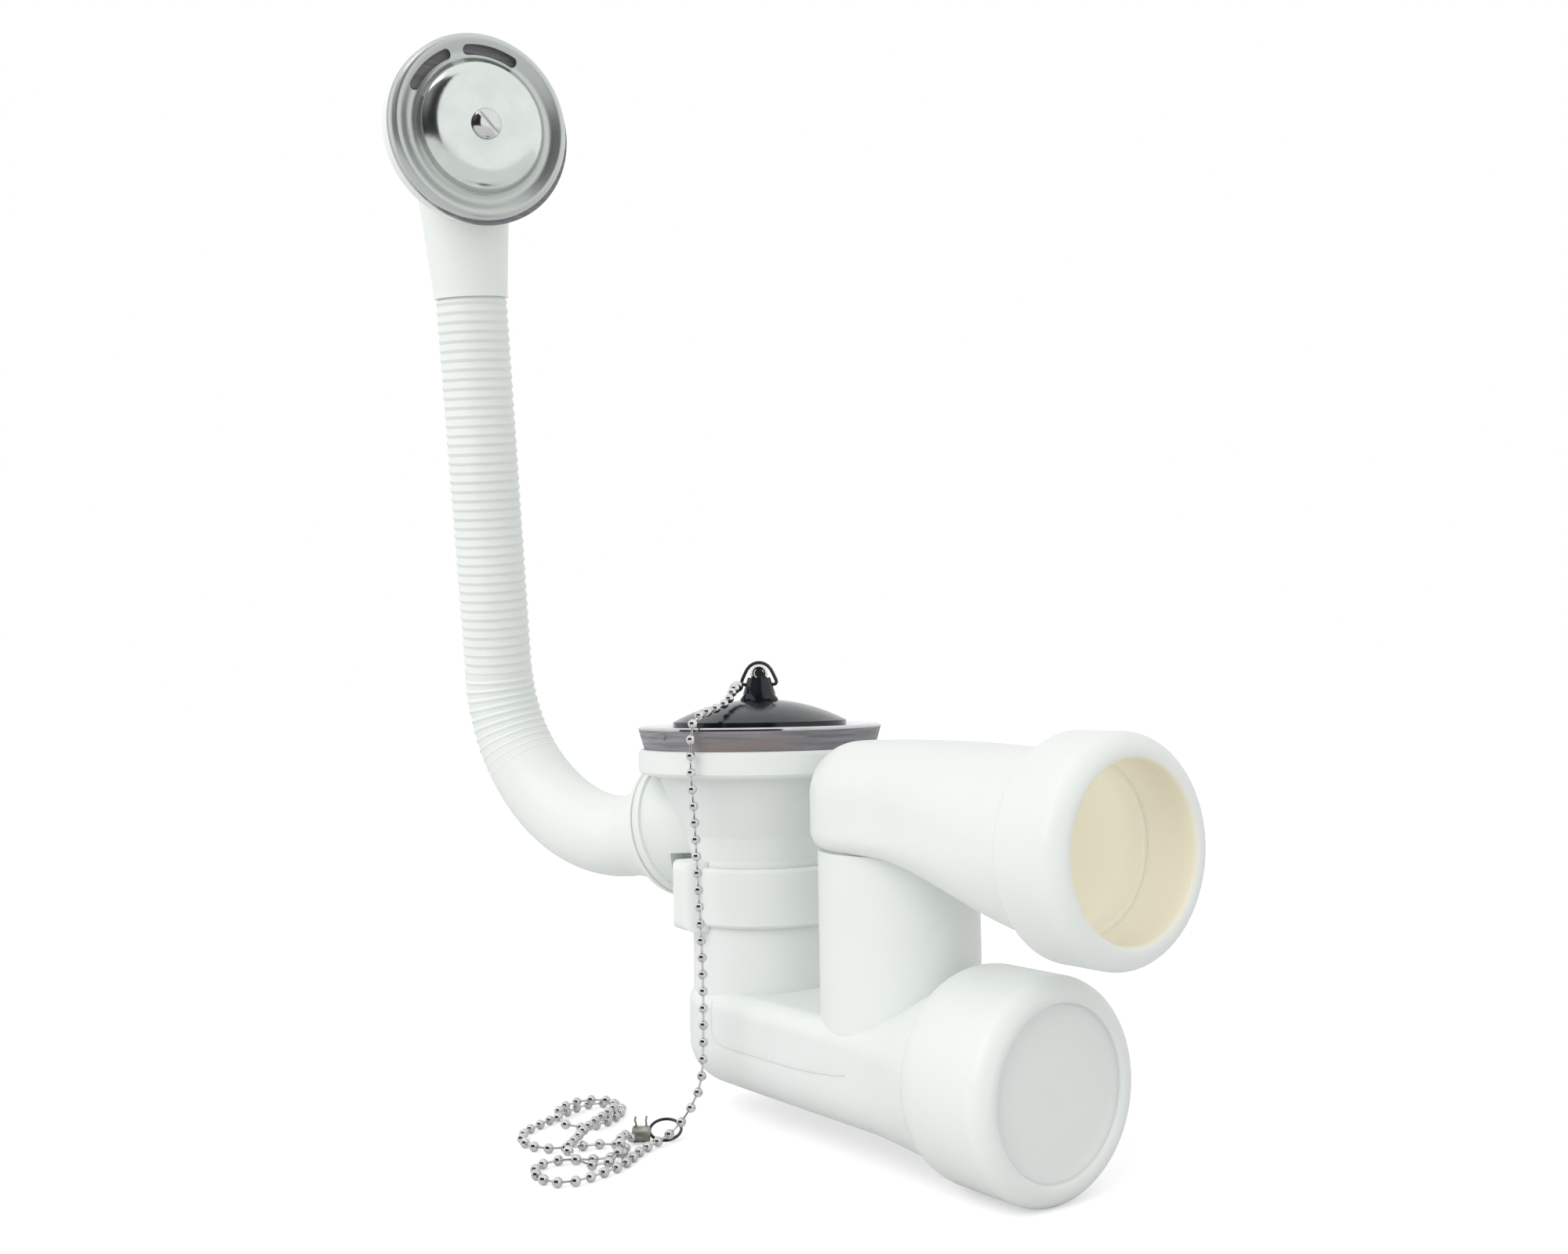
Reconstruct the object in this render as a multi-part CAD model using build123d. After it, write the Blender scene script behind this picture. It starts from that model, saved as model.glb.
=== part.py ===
from build123d import *
import math
import os

# Bath waste and overflow with a flat trap, a push-in plug and a ball chain.
# Millimetres. The Z axis is the axis of the waste. Z = 0 is the plane where the bath floor is
# clamped. The trap and its outlet run along -Y, and the overflow stands on the +Y side.

# Fits
slip = 0.1             # clearance of pieces that slide together
nut_room = 0.6         # free room round the nut's lugs
plug_gap = 0.2         # plug to the dish it is pushed into

# Waste flange, its washer and the gasket under the bath
flange_lip = 9.8       # width of the lip round the dish
lip_thick = 0.9
washer_thick = 1.2
flange_seal_room = 3.0  # seals to the dish
gasket_thick = 4.4
gasket_draw = 1.7      # gasket's lower edge inside the lip
dish_top_d = 50.4
dish_low_d = 45.6
dish_depth = 11.0
sheet = 0.8
strainer_hole_d = 7.0
strainer_circle_d = 27.0
strainer_count = 8

# Waste body
rim_high = 6.9
body_high = 32.8       # rim top to the shoulder on the nut
funnel_top_d = 58.4
funnel_low_d = 43.8
funnel_drop = 24.4     # rim top to the point where the funnel turns steep
shoulder_d = 40.4
spigot_d = 33.0
spigot_reach = 15.0    # below the shoulder
body_wall = 2.0
screw_boss_d = 13.0
boss_drop = 9.0        # rim top to boss top
boss_high = 20.0
rib_thick = 3.0
rib_high = 9.0
rib_count = 3

# Side inlet of the body
inlet_turn = 10.8      # degrees from +Y towards -X
inlet_dip = 11.0       # degrees below the level
inlet_reach = 32.4     # along the inlet axis to its joint face
inlet_axis_z = -22.2   # where the inlet axis meets the axis of the waste
inlet_flange_d = 42.0
inlet_flange_thick = 2.6
inlet_neck_d = 27.0
inlet_cone_long = 14.0
inlet_bore_d = 20.6

# Screws and inserts
screw_d = 5.8
insert_d = 9.0
insert_long = 10.0
waste_screw_head_d = 12.0
waste_screw_long = 26.0
overflow_screw_long = 27.4
screw_head_d = 9.2
screw_head_high = 2.3
screw_head_edge = 0.7
screw_slot = 1.2
screw_slot_turn = -50.0

# Coupling nut
nut_wall = 2.2
nut_high = 16.1
nut_lip = 3.0
lug_reach = 26.4
lug_wide = 11.0
lug_turn = -9.0        # degrees of the lugs from the X axis
lug_extra = 1.6        # how far a lug stands past the nut at each end
nut_seal_thick = 3.2

# Trap
neck_d = 40.0
riser_d = 41.4
trap_wall = 2.2
riser_reach = 60.0     # waste axis to riser axis
channel_wide = 42.6
channel_top = -71.1
channel_high = 27.9
channel_top_round = 5.0
channel_low_round = 12.5
flare_from = 64.0      # distance from the waste axis
flare_to = 97.0
cleanout_tip = 115.6
cleanout_z = -80.4
cleanout_collar_from = 84.0
channel_end_lift = 3.0  # underside of the channel above the collar's lowest line
section_flat = 0.4     # half of the flat left between the arcs of a round section

# Outlet elbow and collar
elbow_wide = 45.0
elbow_top = -1.4
elbow_low = -29.1
elbow_top_round = 13.5
elbow_low_round = 5.0
elbow_flare_from = 72.0
outlet_seam = 119.5
outlet_tip = 139.0
outlet_z = -24.0
elbow_end_d = 44.0
riser_spigot_long = 8.0
collar_d = 52.5
collar_round = 5.0
lip_roll = 1.2         # depth of the rolled inner edge of a collar
collar_shoulder = 2.8  # length of the rounded step beyond the seam
pipe_d = 40.0
pipe_play = 0.4        # socket bore over the pipe
collar_spigot_wall = 2.2
collar_stop = 1.4      # ledge that stops the pipe
collar_spigot_long = 5.0
blank_recess = 2.4
blank_cove = 3.2       # width of the hollow between the disc's face and its rim
blank_thick = 3.2
blank_seat = 5.0       # depth of the blanking disc's skirt
blank_ledge = 2.0      # ledge behind the blanking disc

# Overflow hose: out of the side inlet, round one bend and up a ribbed run that leans forward
hose_turn_r = 48.5
hose_corner_out = 118.4  # along the inlet axis to where it meets the line of the ribbed run
hose_lean_x = 7.5      # degrees of the ribbed run from upright towards -X
hose_lean_y = 7.1      # and towards -Y
hose_rib_pitch = 2.98
hose_rib_count = 41
hose_rib_depth = 0.55
hose_bend_ribs = 11    # shallower ribs that run out along the bend
hose_top_d = 22.8
hose_low_d = 22.2
hose_bend_d = 21.8     # where the ribbed run begins
hose_swell_d = 25.2    # plain part of the bend
hose_end_d = 34.0      # foot of the cone on the joint flange
hose_end_long = 20.0
hose_wall = 1.4
hose_cuff_long = 10.0
hose_spigot_long = 5.0
hose_seal_thick = 0.8
flange_edge = 1.0      # bevel on the back of the joint flange

# Overflow head, in its own frame: z out of the bath wall, y up
head_turn = -8.0       # degrees from -Y towards +X that the head faces
head_neck_room = 0.8   # keeps the neck behind the front of the cup
head_up = 49.7         # hose top to the centre of the faceplate
plate_d = 55.5
plate_rim_round = 2.4
plate_rim_high = 3.7
plate_trough_d = 43.4
plate_trough_z = 2.1
plate_dome_d = 38.4
plate_dome_lift = 6.7
plate_dome_crown = 1.2
plate_slot_r = 22.7
plate_slot_wide = 3.0
plate_slot_span = 36.0
plate_slot_gap = 18.0
plate_slot_mid = 105.0
wall_gasket_d = 55.0
wall_gasket_hole_d = 42.0
wall_gasket_thick = 2.0
wall_gasket_slip = 1.3  # how far the loose ring has dropped towards the lower right
cup_d = 55.5
cup_deep = 14.0
cup_flange_thick = 5.0
cup_body_d = 52.0
cup_back_d = 38.0
cup_wall = 2.2
cup_boss_d = 14.0
cup_boss_drop = 8.0    # boss top behind the front of the cup
neck_top_d = 31.6
neck_low_d = 23.4
neck_wall = 1.2
neck_land = 2.0        # plain length at the foot of the neck

# Plug, its ring and the chain
plug_d = 50.0
plug_high = 8.5        # below its edge
plug_edge_z = 3.2
plug_crown = 6.2
plug_edge_thick = 1.0
post_d = 9.4
post_foot_d = 12.4
lobe_r = 2.6           # four lobes round the foot of the post
plug_hollow = 5.0
plug_wall = 3.0
post_high = 6.2
post_top_d = 6.6
post_taper = 4.6
stud_d = 5.0
stud_thick = 3.2
stud_core_d = 2.4
ring_turn = -36.7      # degrees from +X of the ring's plane
ring_wire_d = 0.9
ring_half_wide = 6.6
ring_high = 6.6
ring_hole_d = 1.6
ring_corner = 1.1
ring_z = 13.6
chain_d = 2.65
floor_z = cleanout_z - collar_d / 2
top_coupling_d = 3.4
top_coupling_long = 5.0
end_coupling_d = 4.6
end_coupling_long = 4.6
end_ring_d = 8.4
end_ring_wire_d = 0.8
heap_long = 64.0
heap_wide = 29.0
heap_high = 5.6
heap_turn = 54.5
heap_at = (-62.0, -0.6)
end_coupling_at = (-46.8, -8.6)
end_ring_at = (-39.3, -8.7)
end_ring_tilt = 24.0

# Sizes and heights that follow from those above
flange_d = dish_top_d + 2 * flange_lip
gasket_low_d = flange_d - 2 * gasket_draw
rim_d = flange_d
lip_top = washer_thick + lip_thick
dish_top = lip_top - 1.6
rim_top = -gasket_thick
rim_low = rim_top - rim_high
nut_top = rim_top - body_high
nut_d = neck_d + 2 * slip + 2 * nut_wall
head_axis_back = wall_gasket_thick + head_neck_room + neck_top_d / 2
nut_low = nut_top - nut_high
neck_top = nut_top - nut_lip - nut_seal_thick
channel_low = channel_top - channel_high
socket_d = pipe_d + pipe_play
collar_spigot_d = socket_d - 2 * collar_stop + 2 * collar_spigot_wall
beyond = 6 * flange_d   # longer than any piece that it cuts


# Common ways of making a piece

def turned(points):
    return revolve(Plane.XZ * make_face(Polyline(*points, close=True)), Axis.Z)


def along(origin, direction, piece):
    return Plane(origin=origin, z_dir=direction) * piece


def washer(outer_d, inner_d, low, high):
    ring = Cylinder(outer_d / 2, high - low) - Cylinder(inner_d / 2, high - low)
    return Pos(0, 0, (low + high) / 2) * ring


def rounded_section(reach, half_wide, low, high, low_round, high_round):
    # Upright section of an arm, square to its run, with its own corner radius below and above.
    run = Plane.XZ.offset(reach)
    k = math.sqrt(0.5)
    lines = []
    corners = (
        (half_wide, low, -1, 1, low_round),
        (half_wide, high, -1, -1, high_round),
        (-half_wide, high, 1, -1, high_round),
        (-half_wide, low, 1, 1, low_round),
    )
    arcs = []
    for x, z, sx, sz, r in corners:
        centre = (x + sx * r, z + sz * r)
        level = (centre[0], z)
        upright = (x, centre[1])
        middle = (centre[0] - sx * r * k, centre[1] - sz * r * k)
        arcs.append((level, middle, upright))
    first, second, third, fourth = arcs
    lines.append(ThreePointArc(*first))
    lines.append(Line(first[2], second[2]))
    lines.append(ThreePointArc(second[2], second[1], second[0]))
    lines.append(Line(second[0], third[0]))
    lines.append(ThreePointArc(*third))
    lines.append(Line(third[2], fourth[2]))
    lines.append(ThreePointArc(fourth[2], fourth[1], fourth[0]))
    lines.append(Line(fourth[0], first[0]))
    return run * make_face(lines)


def blend(start, end, share):
    return start + (end - start) * share


def arm(axis_reach, flare_start, flare_end, near, far, inset):
    # A flat channel with a round end about an upright axis, which swells into a round tube.
    # near and far hold half width, low and high edge and the two corner radii.
    def section(reach, share):
        half_wide = blend(near[0], far[0], share) - inset
        low = blend(near[1], far[1], share) + inset
        high = blend(near[2], far[2], share) - inset
        low_round = blend(near[3], far[3], share) - inset
        high_round = blend(near[4], far[4], share) - inset
        return rounded_section(reach, half_wide, low, high, low_round, high_round)

    straight = extrude(section(axis_reach, 0.0), flare_start - axis_reach, dir=(0, -1, 0))
    half = section(axis_reach, 0.0) & Pos(near[0], -axis_reach, 0) * Box(2 * near[0], beyond, beyond)
    turn_axis = Axis((0, -axis_reach, 0), (0, 0, 1))
    round_end = revolve(half, turn_axis, 180)
    stations = 5
    sections = []
    for i in range(stations):
        share = i / (stations - 1)
        eased = share * share * (3 - 2 * share)
        sections.append(section(blend(flare_start, flare_end, share), eased))
    return straight + round_end + loft(sections)


# Waste fitting

def dish_radius(z):
    # Inside of the dish, a plain cone between its floor and its top.
    floor = lip_top - dish_depth
    share = (z - floor) / (dish_top - floor)
    return blend(dish_low_d, dish_top_d, share) / 2


def waste_flange():
    lip = flange_d / 2
    top = dish_top_d / 2
    low = dish_low_d / 2
    floor = lip_top - dish_depth
    outline = [
        (0, floor), (low, floor), (top, dish_top), (top + 2.0, lip_top - 0.5),
        (lip - 0.6, lip_top), (lip, lip_top - 0.4), (lip, washer_thick), (top + 1.6, washer_thick),
        (top + 1.0, dish_top - 1.0), (low + sheet, floor - sheet), (0, floor - sheet),
    ]
    dish = turned(outline)
    holes = PolarLocations(strainer_circle_d / 2, strainer_count)
    strainer = [place * Cylinder(strainer_hole_d / 2, 4 * dish_depth) for place in holes]
    screw_hole = Cylinder(screw_d / 2 + slip, 4 * dish_depth)
    return dish - strainer - screw_hole


def seal_radius(z):
    # Washer and gasket share one sloping side, from under the lip to the body's rim.
    share = (washer_thick - z) / (washer_thick + gasket_thick)
    return blend(flange_d - 2 * slip, gasket_low_d, share) / 2


def flange_seal(low, high):
    hole = dish_top_d / 2 + flange_seal_room
    return turned([(hole, low), (seal_radius(low), low), (seal_radius(high), high), (hole, high)])


def flange_washer():
    return flange_seal(0.0, washer_thick)


def flange_gasket():
    return flange_seal(-gasket_thick, 0.0)


def inlet_frame():
    turn = math.radians(inlet_turn)
    dip = math.radians(inlet_dip)
    level = (-math.sin(turn), math.cos(turn))
    direction = (level[0] * math.cos(dip), level[1] * math.cos(dip), -math.sin(dip))
    return (0, 0, inlet_axis_z), direction


def waste_body():
    rim = rim_d / 2
    funnel_top = funnel_top_d / 2
    funnel_low = funnel_low_d / 2
    funnel_z = rim_top - funnel_drop
    shoulder = shoulder_d / 2
    spigot = spigot_d / 2
    spigot_z = nut_top - spigot_reach
    outer = [
        (0, rim_top), (rim - 0.8, rim_top), (rim, rim_top - 0.8), (rim, rim_low + 0.8),
        (rim - 0.8, rim_low), (funnel_top, rim_low - 1.0), (funnel_low, funnel_z),
        (shoulder, nut_top + 2.0), (shoulder, nut_top), (spigot, nut_top),
        (spigot, spigot_z), (0, spigot_z),
    ]
    mouth = dish_top_d / 2 + flange_seal_room
    inner = [
        (0, rim_top + 1.0), (mouth, rim_top + 1.0), (mouth, rim_top - 1.5),
        (funnel_top - body_wall, rim_low - 1.0), (funnel_low - body_wall, funnel_z),
        (spigot - body_wall, nut_top + 1.0), (spigot - body_wall, spigot_z - 1.0), (0, spigot_z - 1.0),
    ]
    hollow = turned(inner)
    joint_face = inlet_reach
    flange_r = inlet_flange_d / 2
    flange_back = joint_face - inlet_flange_thick
    branch = turned([
        (0, 0), (inlet_neck_d / 2, 0), (inlet_neck_d / 2, joint_face - inlet_cone_long),
        (flange_r - flange_edge, flange_back), (flange_r, flange_back), (flange_r, joint_face),
        (0, joint_face),
    ])
    bore = Pos(0, 0, joint_face / 2) * Cylinder(inlet_bore_d / 2, joint_face + 2.0)
    place = inlet_frame()
    nut_space_high = nut_high + 2 * lug_extra + nut_room
    nut_space = Cylinder(lug_reach + nut_room, nut_space_high)
    nut_space = Pos(0, 0, nut_top + lug_extra + nut_room - nut_space_high / 2) * nut_space
    side = along(*place, branch) - nut_space
    shell = turned(outer) + side - hollow - along(*place, bore)
    boss_top = rim_top - boss_drop
    boss = Pos(0, 0, boss_top - boss_high / 2) * Cylinder(screw_boss_d / 2, boss_high)
    rib_z = boss_top - boss_high / 2
    ribs = []
    for i in range(rib_count):
        blade = Pos(funnel_top / 2, 0, rib_z) * Box(funnel_top, rib_thick, rib_high)
        ribs.append(Rot(0, 0, 90 - inlet_turn + 180 + i * 360 / rib_count) * blade)
    spider = (boss + ribs) & turned(outer)
    insert_hole = Pos(0, 0, boss_top - insert_long / 2) * Cylinder(insert_d / 2, insert_long)
    screw_hole = Pos(0, 0, boss_top - boss_high / 2) * Cylinder(screw_d / 2 + slip, boss_high)
    return shell + spider - insert_hole - screw_hole


def waste_screw_insert():
    top = rim_top - boss_drop
    return washer(insert_d, screw_d + 2 * slip, top - insert_long, top)


def waste_screw():
    seat_z = lip_top - dish_depth
    shank = Pos(0, 0, seat_z - waste_screw_long / 2) * Cylinder(screw_d / 2, waste_screw_long)
    head_r = waste_screw_head_d / 2
    top_z = seat_z + screw_head_high
    edge_z = seat_z + screw_head_edge
    head = turned([(0, seat_z), (head_r, seat_z), (head_r, edge_z), (screw_d / 2, top_z), (0, top_z)])
    slot = Pos(0, 0, top_z) * Box(waste_screw_head_d, screw_slot, screw_head_high)
    return head + shank - slot


# Coupling to the trap

def coupling_nut():
    thread_d = neck_d + 2 * slip
    lip_hole_d = spigot_d + 4 * slip
    mid = (nut_top + nut_low) / 2
    barrel = chamfer(Cylinder(nut_d / 2, nut_high).edges(), 0.8)
    lug_high = nut_high + 2 * lug_extra
    lug_deep = lug_reach - spigot_d / 2
    lug = Pos(lug_reach - lug_deep / 2, 0, 0) * Box(lug_deep, lug_wide, lug_high)
    outer_edges = lug.edges().filter_by(lambda e: e.center().X > lug_reach - 0.1)
    lug = fillet(outer_edges, 2.6)
    nut = barrel + Rot(0, 0, lug_turn) * lug + Rot(0, 0, lug_turn + 180) * lug
    thread_high = nut_high - nut_lip
    tall = nut_high + 4 * lug_extra
    thread = Pos(0, 0, nut_high / 2 - nut_lip - tall / 2) * Cylinder(thread_d / 2, tall)
    above = Pos(0, 0, nut_high / 2 + tall / 2) * Cylinder(shoulder_d / 2 + slip, tall)
    through = Cylinder(lip_hole_d / 2, 2 * thread_high + 2 * nut_lip)
    return Pos(0, 0, mid) * (nut - thread - above - through)


def coupling_seal():
    return washer(neck_d - 2 * slip, spigot_d + 2 * slip, neck_top, nut_top - nut_lip)


# Trap

def rolled_lip(outer, inner, tip):
    # Front edge of a collar: a full round outside, a broad face and a small roll into the bore.
    points = [
        (outer, tip - collar_round),
        (outer - 0.24 * collar_round, tip - 0.36 * collar_round),
        (outer - 0.68 * collar_round, tip - 0.06 * collar_round),
        (inner + lip_roll, tip - 0.1 * lip_roll),
        (inner, tip - lip_roll),
    ]
    return Spline(*points, tangents=[(0, 1), (0, -1)])


def trap_body():
    end_r = collar_d / 2 - 0.6
    near = (channel_wide / 2, channel_low, channel_top, channel_low_round, channel_top_round)
    lift = channel_end_lift
    far = (end_r, cleanout_z - end_r + lift, cleanout_z + end_r, end_r - lift, end_r - section_flat)
    outer = arm(0.0, flare_from, flare_to, near, far, 0.0)
    inner = arm(0.0, flare_from, flare_to, near, far, trap_wall)

    neck_high = neck_top - (channel_top + channel_low) / 2
    neck = Pos(0, 0, neck_top - neck_high / 2) * Cylinder(neck_d / 2, neck_high)
    neck_room = neck_top - channel_top + trap_wall
    neck_bore = Pos(0, 0, neck_top - neck_room / 2) * Cylinder(neck_d / 2 - trap_wall, neck_room)

    middle_z = (channel_top + channel_low) / 2
    riser_high = elbow_low - middle_z
    riser = Pos(0, -riser_reach, elbow_low - riser_high / 2) * Cylinder(riser_d / 2, riser_high)
    spigot_r = riser_d / 2 - 1.8
    riser_top = elbow_low + riser_spigot_long
    spigot = Pos(0, -riser_reach, riser_top - riser_spigot_long / 2) * Cylinder(spigot_r, riser_spigot_long)
    bore_high = riser_top - channel_top + trap_wall
    riser_bore = Pos(0, -riser_reach, riser_top - bore_high / 2) * Cylinder(spigot_r - trap_wall, bore_high)

    r = collar_d / 2
    tip = cleanout_tip
    round_from = tip - collar_round
    low = cleanout_collar_from
    collar_line = [
        Line((0, low), (r - 5.0, low)),
        Spline((r - 5.0, low), (r - 1.2, low + 4.0), (r, low + 10.0)),
        Line((r, low + 10.0), (r, round_from)),
        rolled_lip(r, socket_d / 2, tip),
        Line((socket_d / 2, tip - lip_roll), (0, tip - lip_roll)),
        Line((0, tip - lip_roll), (0, low)),
    ]
    collar = revolve(Plane.XZ * make_face(collar_line), Axis.Z)
    mouth_deep = blank_recess + blank_thick + blank_seat
    mouth = Pos(0, 0, tip - mouth_deep / 2) * Cylinder(socket_d / 2, mouth_deep)
    throat_deep = tip - flare_to + collar_round
    throat = Pos(0, 0, tip - throat_deep / 2) * Cylinder(socket_d / 2 - blank_ledge, throat_deep)
    lower = ((0, 0, cleanout_z), (0, -1, 0))
    outside = outer + neck + riser + spigot + along(*lower, collar)
    return outside - inner - neck_bore - riser_bore - along(*lower, mouth) - along(*lower, throat)


def blanking_disc():
    r = socket_d / 2
    face = cleanout_tip - blank_recess
    skirt_end = face - blank_thick - blank_seat
    back = face - blank_thick
    rim = cleanout_tip - lip_roll
    ledge = r - blank_ledge
    line = [
        Line((0, face), (r - blank_cove, face)),
        Spline((r - blank_cove, face), (r, rim), tangents=[(1, 0), (0.6, 1)]),
        Line((r, rim), (r, skirt_end)),
        Line((r, skirt_end), (ledge, skirt_end)),
        Line((ledge, skirt_end), (ledge, back)),
        Line((ledge, back), (0, back)),
        Line((0, back), (0, face)),
    ]
    disc = revolve(Plane.XZ * make_face(line), Axis.Z)
    return along((0, 0, cleanout_z), (0, -1, 0), disc)


# Outlet

def outlet_elbow():
    end_r = elbow_end_d / 2
    near = (elbow_wide / 2, elbow_low, elbow_top, elbow_low_round, elbow_top_round)
    far = (end_r, outlet_z - end_r, outlet_z + end_r, end_r - section_flat, end_r - section_flat)
    outer = arm(riser_reach, elbow_flare_from, outlet_seam, near, far, 0.0)
    inner = arm(riser_reach, elbow_flare_from, outlet_seam, near, far, trap_wall)
    spigot_long = collar_spigot_long
    spigot = Pos(0, 0, outlet_seam + spigot_long / 2) * Cylinder(collar_spigot_d / 2, spigot_long)
    bore = Pos(0, 0, outlet_seam) * Cylinder(socket_d / 2 - collar_stop, 4 * spigot_long)
    outlet = ((0, 0, outlet_z), (0, -1, 0))
    hole_r = riser_d / 2 - 1.8 + slip
    hole = Pos(0, -riser_reach, elbow_low) * Cylinder(hole_r, 4 * trap_wall)
    saddle = Pos(0, -riser_reach, elbow_low - riser_d / 4) * Cylinder(riser_d / 2 + slip, riser_d / 2)
    return outer + along(*outlet, spigot) - inner - along(*outlet, bore) - hole - saddle


def outlet_collar():
    r = collar_d / 2
    tip = outlet_tip
    back = outlet_seam
    round_from = tip - collar_round
    seam = elbow_end_d / 2
    inner = socket_d / 2
    counter = collar_spigot_d / 2 + slip
    step = back + collar_spigot_long + slip
    line = [
        Line((counter, back), (seam, back)),
        Spline((seam, back), (r, back + collar_shoulder), tangents=[(1, 0.5), (0, 1)]),
        Line((r, back + collar_shoulder), (r, round_from)),
        rolled_lip(r, inner, tip),
        Line((inner, tip - lip_roll), (inner, step)),
        Line((inner, step), (counter, step)),
        Line((counter, step), (counter, back)),
    ]
    ring = revolve(Plane.XZ * make_face(line), Axis.Z)
    return along((0, 0, outlet_z), (0, -1, 0), ring)


# Overflow hose

def hose_points():
    origin, direction = inlet_frame()
    axis = Vector(*direction)
    start = Vector(*origin) + axis * inlet_reach
    corner = Vector(*origin) + axis * hose_corner_out
    lean_x = math.tan(math.radians(hose_lean_x))
    lean_y = math.tan(math.radians(hose_lean_y))
    up = Vector(-lean_x, -lean_y, 1).normalized()
    turn = math.radians(axis.get_angle(up))
    bend_out = corner + up * (hose_turn_r * math.tan(turn / 2))
    top = bend_out + up * (hose_rib_pitch * hose_rib_count)
    return start, corner, bend_out, top, up


def hose_bend_radius(spot):
    # The bend swells from the ribbed run, at spot 1, to its plain part halfway round.
    share = min(1.0, 2 * (1 - spot))
    return blend(hose_bend_d, hose_swell_d, share) / 2


def hose_rib(root, crest):
    # One low ring for the bend, short enough to stay clear of its neighbours on the inside.
    half = hose_rib_pitch / 3
    sunk = root - hose_wall / 2
    return turned([(sunk, -half), (root, -half), (crest, 0), (root, half), (sunk, half)])


def overflow_hose():
    start, corner, bend_out, top, up = hose_points()

    # Ribbed run, turned about its own axis: crests and roots taper from the top to the bend.
    profile = [(0, 0), (hose_bend_d / 2, 0)]
    for i in range(hose_rib_count):
        share = (i + 0.5) / hose_rib_count
        crest = blend(hose_low_d, hose_top_d, share) / 2
        low = i * hose_rib_pitch
        profile.append((crest - hose_rib_depth, low + 0.16 * hose_rib_pitch))
        profile.append((crest, low + 0.5 * hose_rib_pitch))
    ribbed_long = hose_rib_count * hose_rib_pitch
    long = ribbed_long + hose_cuff_long
    cuff_r = neck_low_d / 2 - neck_wall - slip
    profile += [(cuff_r, ribbed_long), (cuff_r, long), (0, long)]
    ribbed = along(bend_out, up, turned(profile))
    bore_r = hose_bend_d / 2 - hose_wall
    ribbed_bore = along(bend_out, up, Pos(0, 0, long / 2) * Cylinder(bore_r, long))

    # Plain bend and the run into the side inlet.
    bend_path = FilletPolyline(start, corner, bend_out + up, radius=hose_turn_r)
    path = Wire(bend_path.edges())
    spigot_r = inlet_bore_d / 2 - slip
    outside = []
    inside = []
    for spot in (0.0, 0.25, 0.5, 0.75, 1.0):
        r = hose_bend_radius(spot)
        square = Plane(origin=path @ spot, z_dir=path % spot)
        outside.append(square * Circle(r))
        inside.append(square * Circle((r if spot > 0 else spigot_r) - hose_wall))
    bend = sweep(outside, path=path, multisection=True)
    bend_bore = sweep(inside, path=path, multisection=True)
    bend_ribs = []
    for i in range(hose_bend_ribs):
        spot = 1 - (i + 1) * hose_rib_pitch / path.length
        r = hose_bend_radius(spot)
        crest = r + hose_rib_depth * blend(0.8, 0.25, i / hose_bend_ribs)
        bend_ribs.append(along(path @ spot, path % spot, hose_rib(r - 2 * slip, crest)))

    # Cone and joint flange on the side inlet's axis.
    origin, direction = inlet_frame()
    face = inlet_reach + hose_seal_thick
    flange_r = inlet_flange_d / 2
    back = face + inlet_flange_thick
    cone_r = hose_end_d / 2
    cone_end = face + hose_end_long
    cuff = turned([
        (0, face), (flange_r, face), (flange_r, back - flange_edge), (flange_r - flange_edge, back),
        (cone_r + flange_edge, back), (cone_r, back + flange_edge),
        (hose_swell_d / 2 + slip, cone_end), (0, cone_end),
    ])
    spigot_mid = face + hose_end_long / 4 - hose_spigot_long
    spigot = Pos(0, 0, spigot_mid) * Cylinder(spigot_r, 2 * hose_spigot_long)
    end_bore_long = hose_end_long + 2 * hose_wall
    end_bore = Pos(0, 0, face - hose_end_long / 2) * Cylinder(spigot_r - hose_wall, end_bore_long)
    place = (origin, direction)
    trim = along(*place, Pos(0, 0, face - inlet_reach / 2) * Cylinder(inlet_flange_d, inlet_reach))
    body = ribbed + (bend - trim) + bend_ribs + along(*place, cuff) + along(*place, spigot)
    return body - along(*place, end_bore) - bend_bore - ribbed_bore


def hose_seal():
    # Flat ring between the two joint flanges.
    origin, direction = inlet_frame()
    ring = washer(inlet_flange_d - 1.2, inlet_bore_d + 2.0, inlet_reach, inlet_reach + hose_seal_thick)
    return along(origin, direction, ring)


# Overflow head

def head_frame():
    # The head stands square on the hose, so its face leans forward with the ribbed run.
    foot, up = hose_points()[-2:]
    face = math.radians(head_turn)
    level = Vector(math.sin(face), -math.cos(face), 0)
    normal = (level - up * level.dot(up)).normalized()
    centre = foot + up * head_up + normal * head_axis_back
    return Plane(origin=centre, x_dir=up.cross(normal), z_dir=normal)


def plate_line(drop, inset):
    # Pressed section from the middle of the dome to the rim, or the same line one sheet further in.
    rim = plate_d / 2 - inset
    dome = plate_dome_d / 2
    lift = plate_dome_lift - drop
    trough = plate_trough_z - drop
    high = plate_rim_high - drop
    return [
        (0, lift + plate_dome_crown),
        (dome * 0.5, lift + plate_dome_crown * 0.75),
        (dome - 2.2, lift + plate_dome_crown * 0.1),
        (dome - 0.2, blend(trough, lift, 0.62)),
        (dome + 0.8, blend(trough, lift, 0.16)),
        (plate_trough_d / 2, trough),
        (rim - 3.6 + inset, blend(trough, high, 0.55)),
        (rim - 1.7, high),
        (rim, plate_rim_high - plate_rim_round),
    ]


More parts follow.
